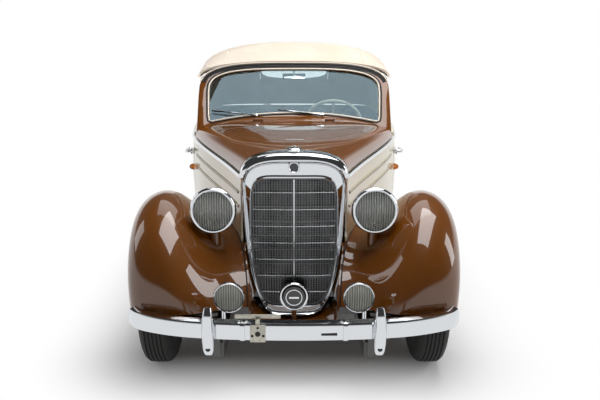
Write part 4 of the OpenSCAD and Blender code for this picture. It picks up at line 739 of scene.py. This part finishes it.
heights = [0.319 + 0.002 * j for j in range(317)]
for sign in sides.values():
    for k in range(1, 55):
        z = grille["foot"] + k * grille["mesh"]
        if z < grille["top"]:
            reach = grilleReach(z)
            layWire((0, grilleY(0), z), (sign * reach, grilleY(reach), z))
    for k in range(1, 18):
        x = k * grille["mesh"]
        y = grilleY(x) + grille["over"]
        levels = [z for z in heights if grilleReach(z) > x]
        if levels:
            layWire((sign * x, y, levels[0]), (sign * x, y, levels[-1]))

# The sides of the radiator surround roll back from the grille opening towards the bonnet
surround = {"front": -1.6784, "blendTop": 0.95, "blendLow": 0.85, "lean": 0.9, "most": 0.034, "lip": 0.012,
            "low": 0.33, "high": 0.94, "deep": 0.08}
surroundPiece = pieces["radiator_surround"]
for vertex in surroundPiece.data.vertices:
    place = vertex.co
    out = abs(place.x) - grilleReach(min(max(place.z, surround["low"]), surround["high"])) - surround["lip"]
    share = (surround["blendTop"] - place.z) / (surround["blendTop"] - surround["blendLow"])
    share = min(1.0, max(0.0, share))
    deep = max(0.0, 1 - (place.y - surround["front"]) / surround["deep"])
    if out > 0 and share > 0:
        place.y += min(surround["most"], surround["lean"] * out) * share * min(1.0, deep)
cloth = newMesh("grille_wire_cloth", points, (), faces)
editAll(cloth)
bpy.ops.mesh.normals_make_consistent(inside=False)
leaveEdit()
dress(cloth, darkWire, slot=slotOf.get("grille"))
for k in range(grille["bars"]):
    z = grille["barTop"] - k * grille["barStep"]
    reach = grilleReach(z) - 0.002
    line = [(x, grilleY(x) - grille["barOut"], z) for x in (-reach, 0, reach)]
    bar = bead("grille_bright_bar_%d" % k, line, grille["barRadius"], rounds=2)
    dress(bar, chromePlate, slot=slotOf.get("grille"))
line = [(0, grilleY(0) - grille["ribOut"], z) for z in (0.335, 0.5, 0.7, 0.945)]
dress(bead("grille_middle_rib", line, grille["ribRadius"]), chromePlate, slot=slotOf.get("grille"))
dress(block("radiator_core_face", (-0.175, -1.598, 0.34), (0.175, -1.581, 0.92), 0.004), blackEnamel)

# A plain medallion where the shell has its badge place
medal = {"place": (0, -1.6805, 1.0035), "enamel": 0.0195}
coin = [(0.0, 0.0), (0.0, 0.019), (-0.001, 0.020), (-0.003, 0.022), (-0.003, 0.026), (0.0, 0.028),
        (0.008, 0.028)]
medallion = turned("plain_medallion", coin, medal["place"], 48)
dress(medallion, chromePlate, slot="bright_chrome")
linedWith(medallion, medallionEnamel,
          lambda f: math.hypot(f.center.x, f.center.z - medal["place"][2]) < medal["enamel"])
print("grille done")

# Welting: rolled rubber along the inner edge of each fender, where it is bolted to the body
welt = {"radius": 0.0032, "proud": 0.001, "same": 0.0005}
weltLines = {}
for end in ("front", "rear"):
    axleY = corners[end + "_left"][1]
    for side, sign in sides.items():
        rows = {}
        for vertex in nodes[end + "_fenders"].data.vertices:
            place = vertex.co
            if place.x * sign > 0:
                away = math.hypot(place.y - axleY, place.z - tyre["radius"])
                angle = round(math.degrees(math.atan2(place.z - tyre["radius"], place.y - axleY)))
                best = rows.get(angle)
                if best is None or abs(place.x) < abs(best[0].x) - welt["same"] or (
                        abs(place.x) < abs(best[0].x) + welt["same"] and away > best[1]):
                    rows[angle] = (place.copy(), away)
        shift = Vector((sign * welt["proud"], 0, welt["proud"]))
        line = flow([rows[angle][0] + shift for angle in sorted(rows)], 3)
        weltLines[end, side] = line
        dress(bead(end + "_welt_" + side, line, welt["radius"], rounds=2), blackRubberAndShade)

# Infill of the nose: painted sheet from each front fender's welt to the side of the radiator surround
infill = {"low": 0.30, "rows": 20, "step": 0.018, "back": -1.622, "front": -1.58, "eye": 0.7,
          "gap": 0.001, "behind": 0.004, "bulge": 0.010, "thick": 0.0016, "shares": (0, 0.33, 0.67, 1)}
for side, sign in sides.items():
    front = [point for point in weltLines["front", side] if point.y < infill["front"]]
    points = []
    for k in range(infill["rows"]):
        z = infill["low"] + k * infill["step"]
        near = min(front, key=lambda c: abs(c.z - z))
        place, normal = meet(surroundPiece, (sign * infill["eye"], infill["back"], z), (-sign, 0, 0))
        if place and abs(near.z - z) < infill["step"]:
            inner = Vector((place.x + sign * infill["gap"], infill["back"], z))
            outer = Vector((near.x, near.y + infill["behind"], z))
            for t in infill["shares"]:
                bulge = Vector((0, infill["bulge"] * math.sin(math.pi * t), 0))
                points.append(outer + (inner - outer) * t - bulge)
    across = len(infill["shares"])
    if len(points) > 2 * across:
        panel = sheet("nose_infill_" + side, points, across, infill["thick"])
        shadeByAngle(panel, crisp)
        dress(panel, brownEnamel)

# Painted shadow: a dark line under each rib of the bonnet sides, in the black rubber finish
ribLine = {"tallest": 0.2, "out": 0.001, "drop": 0.0025, "radius": 0.0024}
ribParts = looseParts(copyNode("hood_sides", "rib_guides"))
for number, part in enumerate(ribParts):
    low, high = boxOf(part)
    if high.z - low.z < ribLine["tallest"]:
        rows = {}
        for vertex in part.data.vertices:
            rows.setdefault(round(vertex.co.y, 3), []).append(vertex.co.copy())
        line = []
        for station in sorted(rows):
            inner = min(rows[station], key=lambda c: (round(abs(c.x), 4), c.z))
            line.append(inner + Vector((math.copysign(ribLine["out"], inner.x), 0, -ribLine["drop"])))
        dress(bead("rib_shadow_line_%d" % number, line, ribLine["radius"], rounds=2), blackRubberAndShade)
for part in ribParts:
    pieces.remove(part)
print("welts and ribs done")

# Bumper: two clamp straps round the blade, plate bracket, and dark marks for the bracket's holes, a tool
# slot and drain holes: painted shade where the openings are, none of them cut
bumper = {"front": -2.2212, "height": 0.414, "half": 0.042, "turn": 19.5, "deep": 0.016, "hook": 0.026,
          "strapX": 0.213, "strapWide": 0.020, "strapThick": 0.0025, "lift": 0.0032, "tail": 0.012,
          "guardX": 0.354, "drainZ": 0.347}
blade = []
for k in range(-4, 5):
    a = math.radians(bumper["turn"] * k)
    deep = bumper["deep"] * (1 - math.cos(a)) + bumper["hook"] * max(0, abs(k) - 3)
    rise = bumper["half"] * math.sin(a) / math.sin(math.radians(4 * bumper["turn"]))
    blade.append((deep - bumper["lift"], bumper["height"] + rise))
blade[0] = (blade[0][0], blade[0][1] - bumper["tail"])
for side, sign in sides.items():
    points = []
    for edge in (-0.5, 0.5):
        x = sign * bumper["strapX"] + edge * bumper["strapWide"]
        points += [(x, bumper["front"] + d, z) for d, z in blade]
    strap = sheet("bumper_strap_" + side, points, len(blade), bumper["strapThick"])
    finishWith(strap, "BEVEL", width=0.0008, segments=2)
    shadeByAngle(strap, 30)
    dress(strap, chromePlate, slot="bright_chrome")
bracket = [("bar", (-0.245, -2.203, 0.4665), (-0.055, -2.199, 0.4855), 0.0015),
           ("stem", (-0.158, -2.2265, 0.448), (-0.140, -2.1995, 0.4705), 0.001),
           ("foot", (-0.181, -2.2290, 0.374), (-0.117, -2.2262, 0.450), 0.0012)]
for name, low, high, ease in bracket:
    dress(block("plate_bracket_" + name, low, high, ease), zincSteel)
# each hole is a dark dimple on the bracket's face: painted shade in place of an opening
holes = [(-0.149, 0.410, 0.010), (-0.172, 0.402, 0.0045), (-0.126, 0.402, 0.0045), (-0.149, 0.437, 0.004)]
for x, z, radius in holes:
    dimple = [(0.0004, 0.0), (0.0004, radius - 0.001), (-0.0006, radius), (0.0002, radius + 0.0012),
              (0.001, radius + 0.0012)]
    hole = turned("bracket_hole_%03d" % round(1000 * (z - x)), dimple, (x, -2.2300, z), 24)
    dress(hole, blackRubberAndShade)
# the tool slot is a dark block on the blade: painted shade in place of the opening
slot = block("bumper_tool_slot_shade", (0.112, -2.2262, 0.4015), (0.178, -2.2222, 0.4115), 0.0018, 3)
dress(slot, blackRubberAndShade)
# each drain hole is a dark dimple on the guard: painted shade in place of an opening
for side in ("right", "left"):
    start = (sides[side] * bumper["guardX"], -3, bumper["drainZ"])
    place, normal = meet(pieces["front_bumper_blade"], start, (0, 1, 0))
    if place:
        drain = turned("guard_drain_shade_" + side, [(0.0, 0.0), (-0.0004, 0.0085), (0.0012, 0.0105)],
                       place - Vector((0, 0.0006, 0)), 24)
        dress(drain, blackRubberAndShade)
print("bumper details done")

# Horn: grooves and rings of the round cover, with a bar across its middle
horn = {"z": 0.388, "barHalf": 0.024, "barTall": 0.006, "barOut": 0.004, "barIn": 0.0006}
place, normal = meet(pieces["lamp_rims_and_horn"], (0, -3, horn["z"]), (0, 1, 0))
hornFront = place - Vector((0, 0.001, 0))
rings = [("horn_dark_face", [(-0.0005, 0.0), (0.0, 0.034), (0.003, 0.036)], dialPaintAndGrooveShade),
         ("horn_inner_ring", [(0.002, 0.034), (-0.003, 0.036), (-0.003, 0.040), (0.003, 0.043)],
          chromePlate),
         # painted shade: the horn's groove is coloured black
         ("horn_groove_painted_shade", [(0.003, 0.043), (0.0025, 0.052), (0.004, 0.054)], dialPaintAndGrooveShade)]
for name, ring, finish in rings:
    dress(turned(name, ring, hornFront), finish)
bar = block("horn_bar", (-horn["barHalf"], hornFront.y - horn["barOut"], horn["z"] - horn["barTall"]),
            (horn["barHalf"], hornFront.y - horn["barIn"], horn["z"] + horn["barTall"]), 0.0015)
dress(bar, chromePlate)

# Seats and bench: stuffed, swelled by cloth pressure, then sewn into flutes
seatForm = {"voxel": 0.020, "start": -0.007, "round": 0.022, "cap": 0.014, "pressure": 4.0, "frames": 20,
            "pleat": 0.083, "pleatDeep": 0.006, "border": 0.05}


def stuffed(piece):
    editAll(piece)
    bpy.ops.transform.shrink_fatten(value=seatForm["start"])
    leaveEdit()
    finishWith(piece, "BEVEL", width=seatForm["round"], segments=3)
    finishWith(piece, "REMESH", mode="VOXEL", voxel_size=seatForm["voxel"])
    before = [vertex.co.copy() for vertex in piece.data.vertices]
    cloth = piece.modifiers.new("swell", "CLOTH")
    cloth.settings.use_pressure = True
    cloth.settings.uniform_pressure_force = seatForm["pressure"]
    cloth.settings.effector_weights.gravity = 0
    for step in range(1, seatForm["frames"] + 1):
        scene.frame_set(step)
    pick(piece)
    bpy.ops.object.modifier_apply(modifier=cloth.name)
    scene.frame_set(1)
    for vertex, old in zip(piece.data.vertices, before):
        move = vertex.co - old
        if move.length > seatForm["cap"]:
            vertex.co = old + move * (seatForm["cap"] / move.length)
    finishWith(piece, "SMOOTH", factor=0.5, iterations=3)


pads = sorted(looseParts(copyNode("seats", "seat_pad")), key=lambda part: sum(end.y for end in boxOf(part)))
for number, piece in enumerate(pads):
    low, high = boxOf(piece)
    stuffed(piece)
    finishWith(piece, "SUBSURF", levels=1, render_levels=1)
    piece.data.update()
    moves = []
    for vertex in piece.data.vertices:
        facing = max(-vertex.normal.y, vertex.normal.z)
        edge = min(vertex.co.x - low.x, high.x - vertex.co.x)
        if facing > 0.5 and edge > seatForm["border"]:
            share = abs(math.sin(math.pi * (vertex.co.x - low.x) / seatForm["pleat"]))
            moves.append((vertex, -seatForm["pleatDeep"] * (1 - share) ** 2))
    for vertex, deep in moves:
        vertex.co += vertex.normal * deep
    piece.name = "hide_seat_pad_%d" % number
    shadeByAngle(piece, 60)
    dress(piece, seatHide, node="seats")
print("seats done")

# Dash: dials with plain ticks, a locker lid and knobs
dash = {"face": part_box("dashboard")[1][1], "height": 0.945,
        "dials": ((0.262, 0.034), (0.150, 0.027), (0.075, 0.027)), "ticks": 10, "sweep": 260,
        "tickAt": 0.86, "tickLong": 0.18, "tickOut": 0.0024, "needle": (0.5, -0.45), "needleOut": 0.003,
        "knobs": (-0.335, 0.0, -0.04, -0.08, -0.12), "lockerOut": 0.004}
dialRim = [(0.0, -0.002), (0.004, -0.001), (0.006, 0.002), (0.004, 0.005), (0.0, 0.006)]
for number, (x, radius) in enumerate(dash["dials"]):
    place = Vector((x, dash["face"], dash["height"]))
    ring = [(a, radius + out) for a, out in dialRim]
    dress(turned("dial_rim_%d" % number, ring, place, 48), chromePlate)
    disc = [(0.002, 0.0), (0.002, radius - 0.001), (-0.001, radius)]
    dress(turned("dial_face_%d" % number, disc, place, 48), dialPaintAndGrooveShade)
    for k in range(dash["ticks"]):
        a = math.radians(dash["sweep"] * (k / (dash["ticks"] - 1) - 0.5))
        long = Vector((-math.sin(a), 0, math.cos(a))) * radius * dash["tickAt"]
        centre = place + Vector((0, dash["tickOut"], 0))
        line = [centre + long, centre + long * (1 - dash["tickLong"])]
        dress(bead("dial_tick_%d_%d" % (number, k), line, 0.0007, rounds=1), ivoryPaintAndReflection)
    centre = place + Vector((0, dash["needleOut"], 0))
    tip = centre + Vector((dash["needle"][0], 0, dash["needle"][1])) * radius
    dress(bead("dial_needle_%d" % number, [centre, tip], 0.0009, rounds=1), ivoryPaintAndReflection)
locker = block("locker_lid", (-0.47, dash["face"] - 0.002, 0.918),
               (-0.20, dash["face"] + 0.005, 0.972), 0.003, 3)
dress(locker, walnut)
knob = [(0.0, 0.003), (0.006, 0.003), (0.008, 0.008), (0.014, 0.009), (0.018, 0.006), (0.019, 0.0)]
for number, x in enumerate(dash["knobs"]):
    # the first one is on the locker lid
    out = 0.0 if number else dash["lockerOut"]
    place = (x, dash["face"] + out, dash["height"])
    dress(turned("dash_knob_%d" % number, knob, place, 24), ivoryPhenolic)

# Gear lever and pedals
lever = [(0.0, -0.16, 0.44), (0.0, -0.17, 0.56), (0.02, -0.12, 0.70), (0.03, -0.06, 0.76)]
dress(bead("gear_lever", flow(lever, 8), 0.007), chromePlate)
ball = [(-0.014, 0.006), (-0.010, 0.014), (0.0, 0.0185), (0.010, 0.016), (0.017, 0.008), (0.019, 0.0)]
dress(turned("gear_knob", ball, (0.031, -0.053, 0.768), 32, (0.15, 0.75, 0.65)), ivoryPhenolic)
pedal = {"x": (0.36, 0.25, 0.165), "arm": ((-0.452, 0.40), (-0.41, 0.43), (-0.385, 0.47)), "half": 0.027}
for number, x in enumerate(pedal["x"]):
    arm = bead("pedal_arm_%d" % number, flow([(x, y, z) for y, z in pedal["arm"]], 6), 0.006)
    dress(arm, blackEnamel)
    pad = block("pedal_pad_%d" % number, (x - pedal["half"], -0.386, 0.455),
                (x + pedal["half"], -0.372, 0.515), 0.004)
    dress(pad, blackRubberAndShade)

# Door insides: window winder and pull on each lined door
winder = {"y": 0.22, "z": 0.70, "elbow": Vector((0, 0.04, -0.03)), "end": Vector((0, 0.085, -0.065))}
pull = {"y": -0.05, "z": 0.80, "out": 0.03, "stations": (0.03, 0.15), "long": 0.18, "radius": 0.009}
winderBoss = [(-0.002, 0.020), (0.008, 0.019), (0.013, 0.014), (0.015, 0.0)]
winderGrip = [(0.0, 0.006), (0.006, 0.010), (0.024, 0.011), (0.032, 0.007), (0.034, 0.0)]
for side, sign in sides.items():
    shell = pieces["door_" + side + "_shell"]
    place, normal = meet(shell, (0.2 * sign, winder["y"], winder["z"]), (sign, 0, 0))
    hand = place + normal * 0.022 + winder["end"]
    path = [place + normal * 0.014, place + normal * 0.020 + winder["elbow"], hand]
    boss = turned("winder_boss_" + side, winderBoss, place, 32, normal)
    crank = bead("winder_crank_" + side, flow(path, 6), 0.005)
    grip = turned("winder_grip_" + side, winderGrip, hand, 24, normal)
    for piece, finish in ((boss, chromePlate), (crank, chromePlate), (grip, ivoryPhenolic)):
        dress(piece, finish, "side_door_" + side)
    place, normal = meet(shell, (0.2 * sign, pull["y"], pull["z"]), (sign, 0, 0))
    path = [place + normal * pull["out"] + Vector((0, y, 0)) for y in pull["stations"]]
    path = [place] + path + [place + Vector((0, pull["long"], 0))]
    dress(bead("door_pull_" + side, flow(path, 6), pull["radius"]), seatHide, "side_door_" + side)
print("cabin done")

# Running boards: rubber ribs
board = {"ribs": 6, "inner": 0.700, "pitch": 0.018, "start": -0.45, "step": 0.1, "points": 13,
         "height": 0.33, "range": 0.06, "radius": 0.003}
boardPiece = pieces["running_board_pans"]
for side, sign in sides.items():
    for number in range(board["ribs"]):
        x = sign * (board["inner"] + board["pitch"] * number)
        line = [onTop(boardPiece, x, board["start"] + k * board["step"]) for k in range(board["points"])]
        line = [p for p in line if p and abs(p.z - board["height"]) < board["range"]]
        line = [p + Vector((0, 0, 0.0005)) for p in line]
        if len(line) > 3:
            dress(bead("board_rib_%s_%d" % (side, number), line, board["radius"], rounds=2), blackRubberAndShade)

# Luggage lid: a plain turning handle
handle = {"z": 0.66, "out": 0.026, "bar": (-0.05, -0.02, 0.02, 0.05), "radius": 0.007}
lidBoss = [(-0.002, 0.022), (0.006, 0.021), (0.014, 0.012), (0.030, 0.010), (0.032, 0.0)]
place, normal = meet(pieces["luggage_lid_panel"], (0, 2.4, handle["z"]), (0, -1, 0))
if place:
    path = [place + normal * handle["out"] + Vector((x, 0, 0)) for x in handle["bar"]]
    for piece in (turned("lid_handle_boss", lidBoss, place, 32, normal),
                  bead("lid_handle_bar", flow(path, 4), handle["radius"])):
        dress(piece, chromePlate, "luggage_lid", slot="bright_chrome")
print("outside fittings done")

# Stage: pale floor that fades to white outside the car's own outline, soft boxes, camera
stage = {"floorSize": 60.0, "footprint": (0.62, 1.5, 1.0), "fadeTo": 0.75,
         "wallTop": 0.17, "ceiling": 0.29, "ceilingGlow": 0.05}
bpy.ops.object.select_all(action="DESELECT")
bpy.ops.mesh.primitive_plane_add(size=stage["floorSize"], location=(0, 0, -0.001))
floor = bpy.context.active_object
floor.name = "studio_floor"
bpy.ops.object.transform_apply(location=True, rotation=True, scale=True)
floorPaint, tree, place = newMaterial("white_studio_floor", Roughness=0.6, Base_Color=toLinear("#F2F2F2"))
# distance outside the outline on the floor
spread = addNode(tree, "VectorMath", {0: place}, operation="ABSOLUTE")
outside = addNode(tree, "VectorMath", {0: (spread, 0), 1: stage["footprint"]}, operation="SUBTRACT")
outside = addNode(tree, "VectorMath", {0: (outside, 0), 1: (0, 0, 0)}, operation="MAXIMUM")
reach = addNode(tree, "VectorMath", {0: (outside, 0)}, operation="LENGTH")
fade = addNode(tree, "MapRange", {"Value": (reach, "Value"), "From Max": stage["fadeTo"]},
               interpolation_type="SMOOTHSTEP")
glow = addNode(tree, "Emission")
paint = tree.nodes["Principled BSDF"]
# the floor throws only part of its light back up on the car
rays = addNode(tree, "LightPath")
dim = addNode(tree, "BsdfDiffuse", {"Color": toLinear("#4A4A4A")})
shown = addNode(tree, "MixShader", {0: (fade, 0), 1: (paint, 0), 2: (glow, 0)})
both = addNode(tree, "MixShader", {0: (rays, "Is Diffuse Ray"), 1: (shown, 0), 2: (dim, 0)})
tree.links.new(both.outputs[0], tree.nodes["Material Output"].inputs[0])
floor.data.materials.append(floorPaint)

world = bpy.data.worlds.new("studio")
scene.world = world
world.use_nodes = True
tree = world.node_tree
place = addNode(tree, "TexCoord")
parts = addNode(tree, "SeparateXYZ", {"Vector": (place, "Generated")})
# white wall low down all round, and a dark ceiling for the chrome and the paint to show
shades = {"From Min": stage["wallTop"], "From Max": stage["ceiling"], "To Min": 1.0,
          "To Max": stage["ceilingGlow"]}
level = addNode(tree, "MapRange", {"Value": (parts, "Z"), **shades}, interpolation_type="SMOOTHSTEP")
tree.links.new(level.outputs[0], tree.nodes["Background"].inputs["Strength"])
tree.nodes["Background"].inputs["Color"].default_value = (1, 1, 1, 1)

# Soft boxes: name, place, aim, width, height, power
softBoxes = [
    ("overhead", (0.6, -1.25, 3.6), (0.4, -1.15, 0.7), 3.0, 2.2, 95),
    ("side_right", (3.4, -1.6, 2.0), (0.5, -1.1, 0.9), 1.0, 1.6, 22),
    ("side_left", (-3.6, -0.6, 2.4), (-0.5, 0.0, 0.8), 1.4, 1.6, 14),
    ("rear_fill", (0, 1.3, 4.2), (0, 0.8, 0.5), 3.4, 3.0, 45),
]
for name, place, aim, width, height, power in softBoxes:
    light = bpy.data.lights.new(name, "AREA")
    light.shape = "RECTANGLE"
    light.size = width
    light.size_y = height
    light.energy = power
    softBox = linked(name, light)
    softBox.location = place
    softBox.rotation_euler = (Vector(aim) - Vector(place)).to_track_quat("-Z", "Y").to_euler()

# Camera as fitted to the photo, looking down by its tilt in degrees
tilt = 12.95
view = bpy.data.cameras.new("photo_view")
view.sensor_width = 36
view.lens = 43.2
view.shift_x = 0.01
camera = linked("photo_view", view)
camera.location = (0, -4.985, 1.609)
camera.rotation_euler = (math.radians(90 - tilt), 0, 0)
scene.camera = camera
print("stage set")
